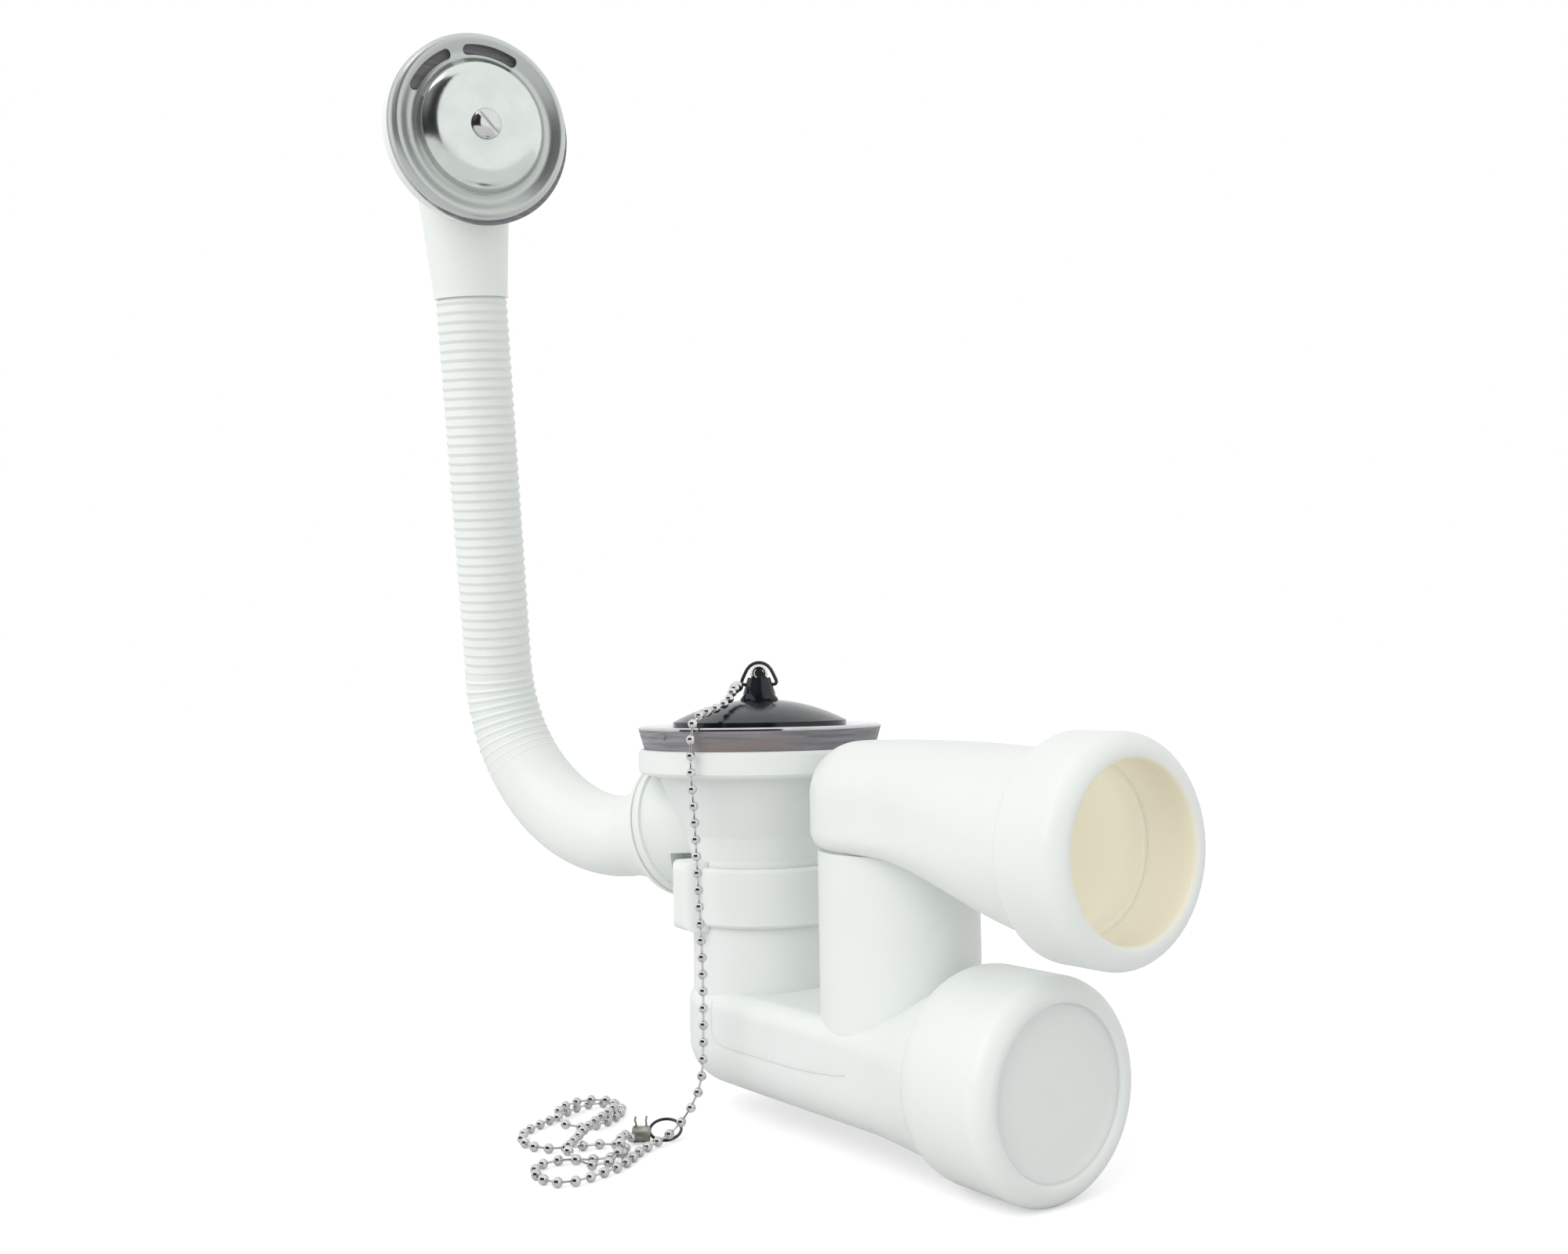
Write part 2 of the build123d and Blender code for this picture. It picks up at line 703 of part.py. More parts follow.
def overflow_faceplate():
    front = plate_line(0.0, 0.0)
    under = plate_line(sheet, sheet)
    ends = [(1, 0), (0, -1)]
    line = [
        Spline(*front, tangents=ends),
        Line(front[-1], (front[-1][0], 0)),
        Line((front[-1][0], 0), (under[-1][0], 0)),
        Line((under[-1][0], 0), under[-1]),
        Spline(*under, tangents=ends),
        Line(under[0], front[0]),
    ]
    plate = revolve(Plane.XZ * make_face(line), Axis.Z)
    half_gap = plate_slot_gap / 2
    slots = []
    for side in (-1, 1):
        middle = plate_slot_mid + side * (half_gap + plate_slot_span / 2)
        arc = CenterArc((0, 0), plate_slot_r, middle - plate_slot_span / 2, plate_slot_span)
        slots.append(extrude(SlotArc(arc, plate_slot_wide), 4 * plate_rim_high, both=True))
    hole = Cylinder(screw_d / 2 + slip, 8 * plate_dome_lift)
    return head_frame() * (plate - slots - hole)


def overflow_screw():
    seat_z = plate_dome_lift + plate_dome_crown
    r = screw_head_d / 2
    edge_z = seat_z + screw_head_edge
    top_z = seat_z + screw_head_high
    line = [
        Line((0, seat_z), (r, seat_z)),
        Line((r, seat_z), (r, edge_z)),
        Spline((r, edge_z), (0, top_z), tangents=[(-0.4, 1), (-1, 0)]),
        Line((0, top_z), (0, seat_z)),
    ]
    head = revolve(Plane.XZ * make_face(line), Axis.Z)
    shank = Pos(0, 0, seat_z - overflow_screw_long / 2) * Cylinder(screw_d / 2, overflow_screw_long)
    slot = Pos(0, 0, top_z) * Rot(0, 0, screw_slot_turn) * Box(screw_head_d, screw_slot, screw_head_high)
    return head_frame() * (head + shank - slot)


def wall_gasket():
    ring = washer(wall_gasket_d, wall_gasket_hole_d, -wall_gasket_thick, 0.0)
    return head_frame() * Pos(wall_gasket_slip, -wall_gasket_slip, 0) * ring


def head_neck(low_d, top_d, step_long):
    # Tapered tube about the hose's axis with a round end behind the middle of the plate.
    tube = turned([(0, 0), (low_d / 2, 0), (low_d / 2, step_long), (top_d / 2, head_up), (0, head_up)])
    return tube + Pos(0, 0, head_up) * Sphere(top_d / 2)


def overflow_head():
    front = -wall_gasket_thick
    back = front - cup_deep
    under = front - cup_flange_thick
    floor = back + cup_wall
    cup = turned([
        (0, front), (cup_d / 2, front), (cup_d / 2, under), (cup_body_d / 2, under),
        (cup_back_d / 2, back), (0, back),
    ])
    room = turned([
        (0, front), (cup_body_d / 2 - cup_wall, front), (cup_body_d / 2 - cup_wall, under),
        (cup_back_d / 2 - cup_wall, floor), (0, floor),
    ])
    place = hose_points()[-2:]
    frame = head_frame()
    neck = along(*place, head_neck(neck_low_d, neck_top_d, neck_land))
    bore = along(*place, head_neck(neck_low_d - 2 * neck_wall, neck_top_d - 2 * neck_wall, hose_cuff_long))
    boss_top = front - cup_boss_drop
    boss_foot = -head_axis_back - neck_top_d / 2 + neck_wall / 2
    boss_long = boss_top - boss_foot
    boss = Pos(0, 0, boss_top - boss_long / 2) * Cylinder(cup_boss_d / 2, boss_long)
    insert_hole = Pos(0, 0, boss_top - insert_long / 2) * Cylinder(insert_d / 2, insert_long)
    hollow = frame * cup + neck - frame * room - bore
    return hollow + frame * boss - frame * insert_hole


def overflow_insert():
    front = -wall_gasket_thick
    top = front - cup_boss_drop
    return head_frame() * washer(insert_d, screw_d + 2 * slip, top - insert_long, top)


# Plug

def plug():
    edge = plug_d / 2
    z = plug_edge_z
    low = dish_radius(z - plug_high) - plug_gap
    neck = dish_radius(dish_top) - plug_gap
    crown_z = z + plug_crown
    post = post_d / 2
    dome_r = (edge * edge + plug_crown * plug_crown) / (2 * plug_crown)
    foot_z = crown_z - 0.9
    line = [
        Line((0, z - plug_high), (low, z - plug_high)),
        Line((low, z - plug_high), (neck, dish_top)),
        Line((neck, dish_top), (edge, z - plug_edge_thick)),
        Line((edge, z - plug_edge_thick), (edge, z)),
        RadiusArc((edge, z), (post, z + dome_rise(dome_r, post)), -dome_r),
        Line((post, z + dome_rise(dome_r, post)), (post, crown_z + post_high - post_taper)),
        Line((post, crown_z + post_high - post_taper), (post_top_d / 2, crown_z + post_high)),
        Line((post_top_d / 2, crown_z + post_high), (0, crown_z + post_high)),
        Line((0, crown_z + post_high), (0, z - plug_high)),
    ]
    body = revolve(Plane.XZ * make_face(line), Axis.Z)
    lobes = []
    lobe = turned([
        (0, foot_z - 1.5), (lobe_r, foot_z - 1.5), (lobe_r, foot_z + 1.0),
        (lobe_r / 2, foot_z + lobe_r), (0, foot_z + lobe_r),
    ])
    for i in range(4):
        turn = 45 + ring_turn + 90 * i
        lobes.append(Rot(0, 0, turn) * Pos(post_foot_d / 2 - lobe_r + 0.4, 0, 0) * lobe)
    hollow = Pos(0, 0, z - plug_high + plug_hollow / 2) * Cylinder(low - plug_wall, plug_hollow)
    ring_hole = Rot(0, 90, 0) * Cylinder(ring_hole_d / 2, 2 * post_foot_d)
    ring_hole = Rot(0, 0, ring_turn) * Pos(0, 0, ring_z) * ring_hole
    return body + lobes - hollow - ring_hole - stud_place() * Cylinder(stud_d / 2, stud_thick)


def dome_rise(dome_r, r):
    edge = plug_d / 2
    return math.sqrt(dome_r * dome_r - r * r) - math.sqrt(dome_r * dome_r - edge * edge)


def stud_place():
    # The eyelet lies on its side in the top of the post and faces along the ring's axis.
    stud_z = plug_edge_z + plug_crown + post_high + stud_d / 4
    return Rot(0, 0, ring_turn) * Pos(0, 0, stud_z) * Rot(90, 0, 0)


def plug_stud():
    half = stud_thick / 2
    r = stud_d / 2
    core = stud_core_d / 2
    sunk = half - stud_thick / 4
    eyelet = turned([
        (0, -sunk), (core, -sunk), (core + 0.3, -half), (r - 0.6, -half), (r, 0.6 - half),
        (r, half - 0.6), (r - 0.6, half), (core + 0.3, half), (core, sunk), (0, sunk),
    ])
    return stud_place() * eyelet


def plug_ring():
    w = ring_half_wide
    left = (-w, ring_z)
    right = (w, ring_z)
    arch = make_face([Line(left, right), ThreePointArc(right, (0, ring_z + ring_high), left)])
    flat = Plane.XZ * fillet(arch.vertices(), ring_corner)
    path = flat.face().outer_wire()
    start = Plane(origin=path @ 0, z_dir=path % 0)
    ring = sweep(start * Circle(ring_wire_d / 2), path=path)
    return Rot(0, 0, ring_turn) * ring


# Chain

# Route of the hanging chain, chosen by hand: from its top coupling over the plug and the lip,
# down beside the waste and along the floor to the heap.
chain_route = [
    (-9.6, -0.6, 12.3),
    (-15.0, -4.0, 10.6),
    (-22.5, -7.6, 9.6),
    (-30.5, -11.6, 8.2),
    (-36.0, -14.4, 3.8),
    (-37.2, -15.4, -6.0),
    (-35.8, -16.2, -21.0),
    (-34.0, -17.0, -46.0),
    (-33.4, -17.4, -72.0),
    (-33.6, -17.2, -88.0),
    (-35.2, -16.2, -97.5),
    (-39.6, -14.8, -103.2),
    (-46.6, -15.2, -105.2),
    (-53.4, -14.2, -105.2),
    (-58.4, -10.4, -105.2),
]


def chain_radii():
    radii = []
    for i in range(1, len(chain_route) - 1):
        before = Vector(*chain_route[i]) - Vector(*chain_route[i - 1])
        after = Vector(*chain_route[i + 1]) - Vector(*chain_route[i])
        half_turn = math.radians(before.get_angle(after)) / 2
        radii.append(0.45 * min(before.length, after.length) / math.tan(half_turn))
    return radii


def chain_heap_solid():
    low = floor_z
    pad = Pos(0, 0, low) * extrude(Ellipse(heap_long / 2, heap_wide / 2), heap_high)
    pad = fillet(pad.edges().group_by(Axis.Z)[-1], heap_high * 0.6)
    return Pos(heap_at[0], heap_at[1], 0) * Rot(0, 0, heap_turn) * pad


def chain_tube():
    radii = chain_radii()
    path = FilletPolyline(*chain_route, radius=radii)
    wire = Wire(path.edges())
    start = Plane(origin=wire @ 0, z_dir=wire % 0)
    tube = sweep(start * Circle(chain_d / 2), path=wire)
    return tube - chain_heap_solid()


def top_coupling():
    first = Vector(*chain_route[0])
    second = Vector(*chain_route[1])
    direction = (first - second).normalized()
    shell = Pos(0, 0, top_coupling_long / 2) * Cylinder(top_coupling_d / 2, top_coupling_long)
    return along(first, direction, fillet(shell.edges(), 0.6))


def end_coupling():
    shell = Cylinder(end_coupling_d / 2, end_coupling_long)
    place = Pos(end_coupling_at[0], end_coupling_at[1], floor_z + end_coupling_d / 2)
    return place * Rot(0, 0, ring_turn) * Rot(0, 90, 0) * fillet(shell.edges(), 0.5)


def end_ring():
    rise = end_ring_d / 2 * math.sin(math.radians(end_ring_tilt)) + end_ring_wire_d / 2
    place = Pos(end_ring_at[0], end_ring_at[1], floor_z + rise)
    ring = Torus(end_ring_d / 2, end_ring_wire_d / 2)
    return place * Rot(0, 0, ring_turn) * Rot(end_ring_tilt, 0, 0) * ring


pieces = {
    "waste_flange": waste_flange,
    "flange_washer": flange_washer,
    "flange_gasket": flange_gasket,
    "waste_body": waste_body,
    "waste_screw": waste_screw,
    "waste_screw_insert": waste_screw_insert,
    "coupling_nut": coupling_nut,
    "coupling_seal": coupling_seal,
    "trap_body": trap_body,
    "blanking_disc": blanking_disc,
    "outlet_elbow": outlet_elbow,
    "outlet_collar": outlet_collar,
    "overflow_hose": overflow_hose,
    "hose_seal": hose_seal,
    "overflow_head": overflow_head,
    "overflow_insert": overflow_insert,
    "overflow_gasket": wall_gasket,
    "overflow_faceplate": overflow_faceplate,
    "overflow_screw": overflow_screw,
    "plug": plug,
    "plug_stud": plug_stud,
    "plug_ring": plug_ring,
    "chain_top_coupling": top_coupling,
    "chain": chain_tube,
    "chain_heap": chain_heap_solid,
    "chain_end_coupling": end_coupling,
    "chain_end_ring": end_ring,
}

os.makedirs("parts", exist_ok=True)
for name, make in pieces.items():
    export_step(make(), os.path.join("parts", name + ".step"))
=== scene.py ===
import math
import bmesh
import bpy
from mathutils import Matrix, Vector


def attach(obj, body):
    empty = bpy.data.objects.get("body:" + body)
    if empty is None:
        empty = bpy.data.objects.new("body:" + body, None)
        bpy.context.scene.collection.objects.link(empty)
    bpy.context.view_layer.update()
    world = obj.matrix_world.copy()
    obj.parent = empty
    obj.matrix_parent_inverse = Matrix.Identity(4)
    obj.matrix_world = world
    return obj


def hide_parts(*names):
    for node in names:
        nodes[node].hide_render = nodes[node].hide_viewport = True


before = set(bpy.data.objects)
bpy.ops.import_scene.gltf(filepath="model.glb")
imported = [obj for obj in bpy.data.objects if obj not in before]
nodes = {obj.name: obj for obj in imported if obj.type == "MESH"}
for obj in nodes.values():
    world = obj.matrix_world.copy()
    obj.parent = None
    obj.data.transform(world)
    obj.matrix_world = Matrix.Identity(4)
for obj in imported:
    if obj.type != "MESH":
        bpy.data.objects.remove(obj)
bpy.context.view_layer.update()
print("frame loaded:", len(nodes), "solids")

# camera: solved from the picture, so nothing here is to taste
cameraSet = {
    "place": (-0.2602, -0.3614, 0.0136),
    "right": (0.8019, -0.5973, -0.0164),
    "up": (-0.0090, -0.0395, 0.9992),
    "forward": (0.5974, 0.8011, 0.0371),
    "lens": 35.33,
    "sensor": 36.0,
    "nearest": 0.01,
}


def setCamera():
    data = bpy.data.cameras.new("photoCamera")
    data.lens = cameraSet["lens"]
    data.sensor_width = cameraSet["sensor"]
    data.sensor_fit = "HORIZONTAL"
    data.clip_start = cameraSet["nearest"]
    back = tuple(-v for v in cameraSet["forward"])
    turn = Matrix((cameraSet["right"], cameraSet["up"], back)).transposed().to_4x4()
    turn.translation = cameraSet["place"]
    camera = bpy.data.objects.new("photoCamera", data)
    camera.matrix_world = turn
    bpy.context.scene.collection.objects.link(camera)
    bpy.context.scene.camera = camera


setCamera()
print("camera set")


def keep(obj, slotName, *covers):
    bpy.context.scene.collection.objects.link(obj)
    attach(obj, "root")
    if covers:
        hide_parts(*covers)
    return obj


def meshPiece(name, build):
    mesh = bpy.data.meshes.new(name)
    bm = bmesh.new()
    build(bm)
    bmesh.ops.recalc_face_normals(bm, faces=bm.faces)
    for face in bm.faces:
        face.smooth = True
    bm.to_mesh(mesh)
    bm.free()
    return bpy.data.objects.new(name, mesh)


# turns a list of (along, radius) stations about an axis that starts at origin
def addTurned(bm, origin, axis, stations, sides):
    turn = axis.to_track_quat("Z", "Y")
    rings = []
    for along, radius in stations:
        ring = []
        for k in range(sides):
            angle = 2 * math.pi * k / sides
            spot = Vector((radius * math.cos(angle), radius * math.sin(angle), along))
            ring.append(bm.verts.new(origin + turn @ spot))
        rings.append(ring)
    skinRings(bm, rings)


# walls between rings of vertices, and a face at each end
def skinRings(bm, rings):
    for low, high in zip(rings, rings[1:]):
        for k in range(len(low)):
            n = (k + 1) % len(low)
            bm.faces.new((low[k], low[n], high[n], high[k]))
    bm.faces.new(list(reversed(rings[0])))
    bm.faces.new(rings[-1])


# round wire through a list of points
def addWire(bm, points, radius, sides):
    rings = []
    side = None
    for i, point in enumerate(points):
        ahead = points[min(i + 1, len(points) - 1)] - points[max(i - 1, 0)]
        ahead.normalize()
        if side is None:
            side = ahead.orthogonal().normalized()
        side = (side - ahead * side.dot(ahead)).normalized()
        other = ahead.cross(side)
        ring = []
        for k in range(sides):
            angle = 2 * math.pi * k / sides
            spoke = side * math.cos(angle) + other * math.sin(angle)
            ring.append(bm.verts.new(point + radius * spoke))
        rings.append(ring)
    skinRings(bm, rings)


# ball chain: one open line from the plug's coupling over the lip, down, and into the heap
chainSet = {
    "ball": 0.00265,
    "pitch": 0.00445,
    "link": 0.00072,
    "sides": 18,
    "linkSides": 8,
    "bands": 12,
    "holeAngle": 18,                            # degrees off the axis where the ball's hole begins
    "holeEdge": [(0.93, 0.24), (0.80, 0.22)],   # the hole's turned-in edge, in ball radii
    "linkEnd": [(0.5, 1.1), (0.9, 1.0)],        # along in ball radii, out in link radii
    "linkWaist": 0.86,
    "fineness": 16,                             # steps of the line between two points of its route
    "route": [
        (-0.0096, -0.0006, 0.0123), (-0.0126, -0.0039, 0.0104), (-0.0168, -0.0072, 0.0084),
        (-0.0216, -0.0092, 0.0071), (-0.0270, -0.0115, 0.0060), (-0.0326, -0.0144, 0.0046),
        (-0.0342, -0.0156, -0.0020), (-0.0342, -0.0156, -0.0100), (-0.0337, -0.0162, -0.0190),
        (-0.0332, -0.0170, -0.0400), (-0.0326, -0.0178, -0.0620), (-0.0326, -0.0176, -0.0820),
        (-0.0332, -0.0170, -0.0930), (-0.0366, -0.0144, -0.1008), (-0.0414, -0.0138, -0.1046),
        (-0.0475, -0.0155, -0.1053), (-0.0532, -0.0185, -0.1053), (-0.0583, -0.0227, -0.1053),
        (-0.0635, -0.0263, -0.1053), (-0.0690, -0.0276, -0.1053), (-0.0741, -0.0288, -0.1053),
        (-0.0794, -0.0292, -0.1053), (-0.0830, -0.0257, -0.1053), (-0.0834, -0.0202, -0.1053),
        (-0.0815, -0.0146, -0.1053), (-0.0770, -0.0112, -0.1053), (-0.0719, -0.0118, -0.1053),
        (-0.0681, -0.0151, -0.1053), (-0.0643, -0.0180, -0.1053), (-0.0595, -0.0185, -0.1053),
        (-0.0552, -0.0158, -0.1053), (-0.0540, -0.0108, -0.1053), (-0.0568, -0.0066, -0.1053),
        (-0.0630, -0.0049, -0.1053), (-0.0686, -0.0030, -0.1053), (-0.0723, 0.0010, -0.1053),
        (-0.0731, 0.0071, -0.1053), (-0.0707, 0.0135, -0.1053), (-0.0657, 0.0180, -0.1053),
        (-0.0596, 0.0207, -0.1053), (-0.0537, 0.0240, -0.1053), (-0.0481, 0.0271, -0.1053),
        (-0.0429, 0.0292, -0.1053), (-0.0377, 0.0284, -0.1053), (-0.0351, 0.0239, -0.1053),
        (-0.0361, 0.0184, -0.1053), (-0.0407, 0.0136, -0.1053), (-0.0449, 0.0107, -0.1053),
        (-0.0502, 0.0090, -0.1053), (-0.0554, 0.0096, -0.1052), (-0.0583, 0.0138, -0.1044),
        (-0.0573, 0.0190, -0.1032), (-0.0532, 0.0229, -0.1027), (-0.0487, 0.0248, -0.1027),
        (-0.0439, 0.0250, -0.1027), (-0.0401, 0.0219, -0.1027), (-0.0396, 0.0168, -0.1027),
        (-0.0426, 0.0125, -0.1027), (-0.0471, 0.0091, -0.1027), (-0.0519, 0.0056, -0.1027),
        (-0.0568, 0.0018, -0.1027), (-0.0615, -0.0027, -0.1027), (-0.0659, -0.0071, -0.1027),
        (-0.0699, -0.0111, -0.1024), (-0.0724, -0.0157, -0.1028), (-0.0710, -0.0207, -0.1047),
        (-0.0665, -0.0233, -0.1053), (-0.0615, -0.0220, -0.1038), (-0.0585, -0.0179, -0.1024),
        (-0.0560, -0.0134, -0.1025), (-0.0524, -0.0101, -0.1028), (-0.0493, -0.0082, -0.1050),
    ],
}


def chainLine():
    data = bpy.data.curves.new("chainLine", "CURVE")
    data.dimensions = "3D"
    data.resolution_u = chainSet["fineness"]
    spline = data.splines.new("NURBS")
    spline.points.add(len(chainSet["route"]) - 1)
    for spot, place in zip(spline.points, chainSet["route"]):
        spot.co = (*place, 1.0)
    spline.order_u = 3
    spline.use_endpoint_u = True
    line = bpy.data.objects.new("chainLine", data)
    mesh = bpy.data.meshes.new_from_object(line)
    path = [v.co.copy() for v in mesh.vertices]
    bpy.data.objects.remove(line)
    bpy.data.curves.remove(data)
    bpy.data.meshes.remove(mesh)
    return path


# places and directions at equal steps along a line of points
def stepsAlong(path, first, step):
    places = []
    run = 0.0
    wanted = first
    for a, b in zip(path, path[1:]):
        size = (b - a).length
        while size > 0 and wanted <= run + size:
            places.append((a.lerp(b, (wanted - run) / size), (b - a).normalized()))
            wanted += step
        run += size
    return places, run


chainPath = chainLine()
chainSteps, chainLength = stepsAlong(chainPath, chainSet["pitch"] * 0.5, chainSet["pitch"])


def buildChain(bm):
    half = chainSet["ball"] / 2
    wire = chainSet["link"] / 2
    edge = [(along * half, out * half) for along, out in chainSet["holeEdge"]]
    ball = [(-along, out) for along, out in reversed(edge)]
    wide = 180 - 2 * chainSet["holeAngle"]
    for k in range(chainSet["bands"] + 1):
        angle = math.radians(chainSet["holeAngle"] + wide * k / chainSet["bands"])
        ball.append((-half * math.cos(angle), half * math.sin(angle)))
    ball += edge
    for place, ahead in chainSteps:
        addTurned(bm, place, ahead, ball, chainSet["sides"])
    end = [(along * half, out * wire) for along, out in chainSet["linkEnd"]]
    for (a, _), (b, _) in zip(chainSteps, chainSteps[1:]):
        gap = b - a
        link = end + [(gap.length / 2, wire * chainSet["linkWaist"])]
        link += [(gap.length - along, out) for along, out in reversed(end)]
        addTurned(bm, a, gap.normalized(), link, chainSet["linkSides"])


chain = keep(meshPiece("ballChain", buildChain), "chain_metal", "chain", "chain_heap")
print("chain laid:", len(chainSteps), "balls,", round(chainLength * 1000), "mm")

# wire ring on the plug: a bar through the post and two arms that meet over the eyelet
ringSet = {
    "turn": -36.7,
    "wire": 0.0005,
    "sides": 12,
    "half": [
        (0.0, 0.0136), (0.0030, 0.0136), (0.0042, 0.0136), (0.00475, 0.01375), (0.00505, 0.0142),
        (0.00495, 0.0148), (0.00455, 0.0157), (0.0040, 0.0169), (0.0034, 0.0180), (0.0026, 0.01895),
        (0.0016, 0.0196), (0.0007, 0.01986), (0.0, 0.0199),
    ],
}


def buildPlugRing(bm):
    turn = math.radians(ringSet["turn"])
    along = Vector((math.cos(turn), math.sin(turn), 0.0))
    path = [along * reach + Vector((0, 0, z)) for reach, z in ringSet["half"]]
    path += [along * -reach + Vector((0, 0, z)) for reach, z in reversed(ringSet["half"][:-1])]
    addWire(bm, path, ringSet["wire"], ringSet["sides"])


plugRing = keep(meshPiece("plugRing", buildPlugRing), "dark_wire", "plug_ring")

# coupling at the plug: two beads pressed into one, with a waist between them and a pin to the ring
topSet = {
    "origin": (-0.0096, -0.0006, 0.0123),
    "toward": (0.0055, 0.0036, 0.0016),
    "sides": 20,
    "stations": [
        (-0.0004, 0.0004), (0.0, 0.0010), (0.0006, 0.00145), (0.0013, 0.00165), (0.0020, 0.0014),
        (0.0025, 0.0011), (0.0030, 0.0014), (0.0037, 0.00165), (0.0044, 0.00145), (0.0049, 0.0010),
        (0.0052, 0.0005), (0.0058, 0.0004), (0.0063, 0.0004),
    ],
}


def buildTopCoupling(bm):
    toward = Vector(topSet["toward"]).normalized()
    addTurned(bm, Vector(topSet["origin"]), toward, topSet["stations"], topSet["sides"])


topCoupling = keep(meshPiece("topCoupling", buildTopCoupling), "chain_metal", "chain_top_coupling")

# clasp at the chain's far end: a rolled barrel with two wire prongs standing out of its slot
claspSet = {
    "centre": (-0.0468, -0.0086, -0.10435),
    "turn": -36.7,
    "sides": 24,
    "barrel": [
        (-0.0023, 0.0012), (-0.0023, 0.0017), (-0.0022, 0.0020), (-0.0019, 0.0022), (-0.0016, 0.0022),
        (-0.0014, 0.0021), (0.0014, 0.0021), (0.0016, 0.0022), (0.0019, 0.0022), (0.0022, 0.0020),
        (0.0023, 0.0017), (0.0023, 0.0012),
    ],
    "prong": 0.00028,
    "prongSides": 8,
    "prongs": [
        [(-0.0012, 0.0016), (-0.0013, 0.0026), (-0.0016, 0.0036), (-0.0014, 0.0046)],
        [(0.0013, 0.0016), (0.0014, 0.0026), (0.0013, 0.0036), (0.0015, 0.0047)],
    ],
}


def buildClasp(bm):
    turn = math.radians(claspSet["turn"])
    centre = Vector(claspSet["centre"])
    along = Vector((math.cos(turn), math.sin(turn), 0.0))
    addTurned(bm, centre, along, claspSet["barrel"], claspSet["sides"])
    for prong in claspSet["prongs"]:
        path = [centre + along * a + Vector((0, 0, z)) for a, z in prong]
        addWire(bm, path, claspSet["prong"], claspSet["prongSides"])


endClasp = keep(meshPiece("endClasp", buildClasp), "chain_metal", "chain_end_coupling")

# moulded details: the welded seam on the trap's side and the pip on the gasket's edge
detailSet = {
    "seam": 0.00022,
    "seamSides": 10,
    "seamLine": [
        (-0.02080, -0.0044, -0.0740), (-0.02118, -0.0044, -0.0755), (-0.02122, -0.0044, -0.0780),
        (-0.02122, -0.0044, -0.0806), (-0.02122, -0.0048, -0.0826), (-0.02122, -0.0062, -0.0842),
        (-0.02122, -0.0088, -0.0850), (-0.02122, -0.0130, -0.0852), (-0.02122, -0.0260, -0.0851),
        (-0.02122, -0.0400, -0.0850), (-0.02122, -0.0500, -0.0845), (-0.02122, -0.0580, -0.0837),
        (-0.02122, -0.0630, -0.0829),
    ],
    "pipAt": (-0.03452, -0.00262, 0.0001),
    "pipOut": (-0.997, -0.075, 0.0),
    "pipSides": 24,
    "pip": [
        (-0.0004, 0.00115), (0.00005, 0.00112), (0.00030, 0.00095), (0.00034, 0.00078),
        (0.00026, 0.00060), (0.00008, 0.00048), (0.00012, 0.00020),
    ],
}


def buildSeam(bm):
    path = [Vector(p) for p in detailSet["seamLine"]]
    addWire(bm, path, detailSet["seam"], detailSet["seamSides"])


def buildPip(bm):
    place, out = Vector(detailSet["pipAt"]), Vector(detailSet["pipOut"])
    addTurned(bm, place, out, detailSet["pip"], detailSet["pipSides"])


trapSeam = keep(meshPiece("trapSeam", buildSeam), "white_plastic")
gasketPip = keep(meshPiece("gasketPip", buildPip), "grey_rubber")
print("ring, couplings, seam and pip built")


# shader groups: each is built once, and every material that shares the effect gives its own values
def newGroup(name, inputs, outputs):
    tree = bpy.data.node_groups.new(name, "ShaderNodeTree")
    for side, sockets in (("INPUT", inputs), ("OUTPUT", outputs)):
        for label, kind in sockets.items():
            tree.interface.new_socket(name=label, in_out=side, socket_type="NodeSocket" + kind)
    return tree, tree.nodes.new("NodeGroupInput"), tree.nodes.new("NodeGroupOutput")


def addNode(tree, kind, values=None, **settings):
    node = tree.nodes.new(kind)
    for key, value in settings.items():
        setattr(node, key, value)
    for key, value in (values or {}).items():
        node.inputs[key].default_value = value
    return node


# fine moulded skin over a slow wave, as one height
def makeMouldSkin():
    inputs = {"Place": "Vector", "Fine": "Float", "Slow": "Float", "Fine Share": "Float"}
    tree, start, end = newGroup("mouldSkin", inputs, {"Height": "Float"})
    fine = addNode(tree, "ShaderNodeTexNoise", {"Detail": 3.0, "Roughness": 0.6})
    slow = addNode(tree, "ShaderNodeTexNoise", {"Detail": 1.5, "Roughness": 0.4})
    both = addNode(tree, "ShaderNodeMix", data_type="FLOAT")
    for node, label in ((fine, "Fine"), (slow, "Slow")):
        tree.links.new(start.outputs["Place"], node.inputs["Vector"])
        tree.links.new(start.outputs[label], node.inputs["Scale"])
    tree.links.new(start.outputs["Fine Share"], both.inputs[0])
    tree.links.new(slow.outputs["Fac"], both.inputs[2])
    tree.links.new(fine.outputs["Fac"], both.inputs[3])
    tree.links.new(both.outputs[0], end.inputs["Height"])
    return tree


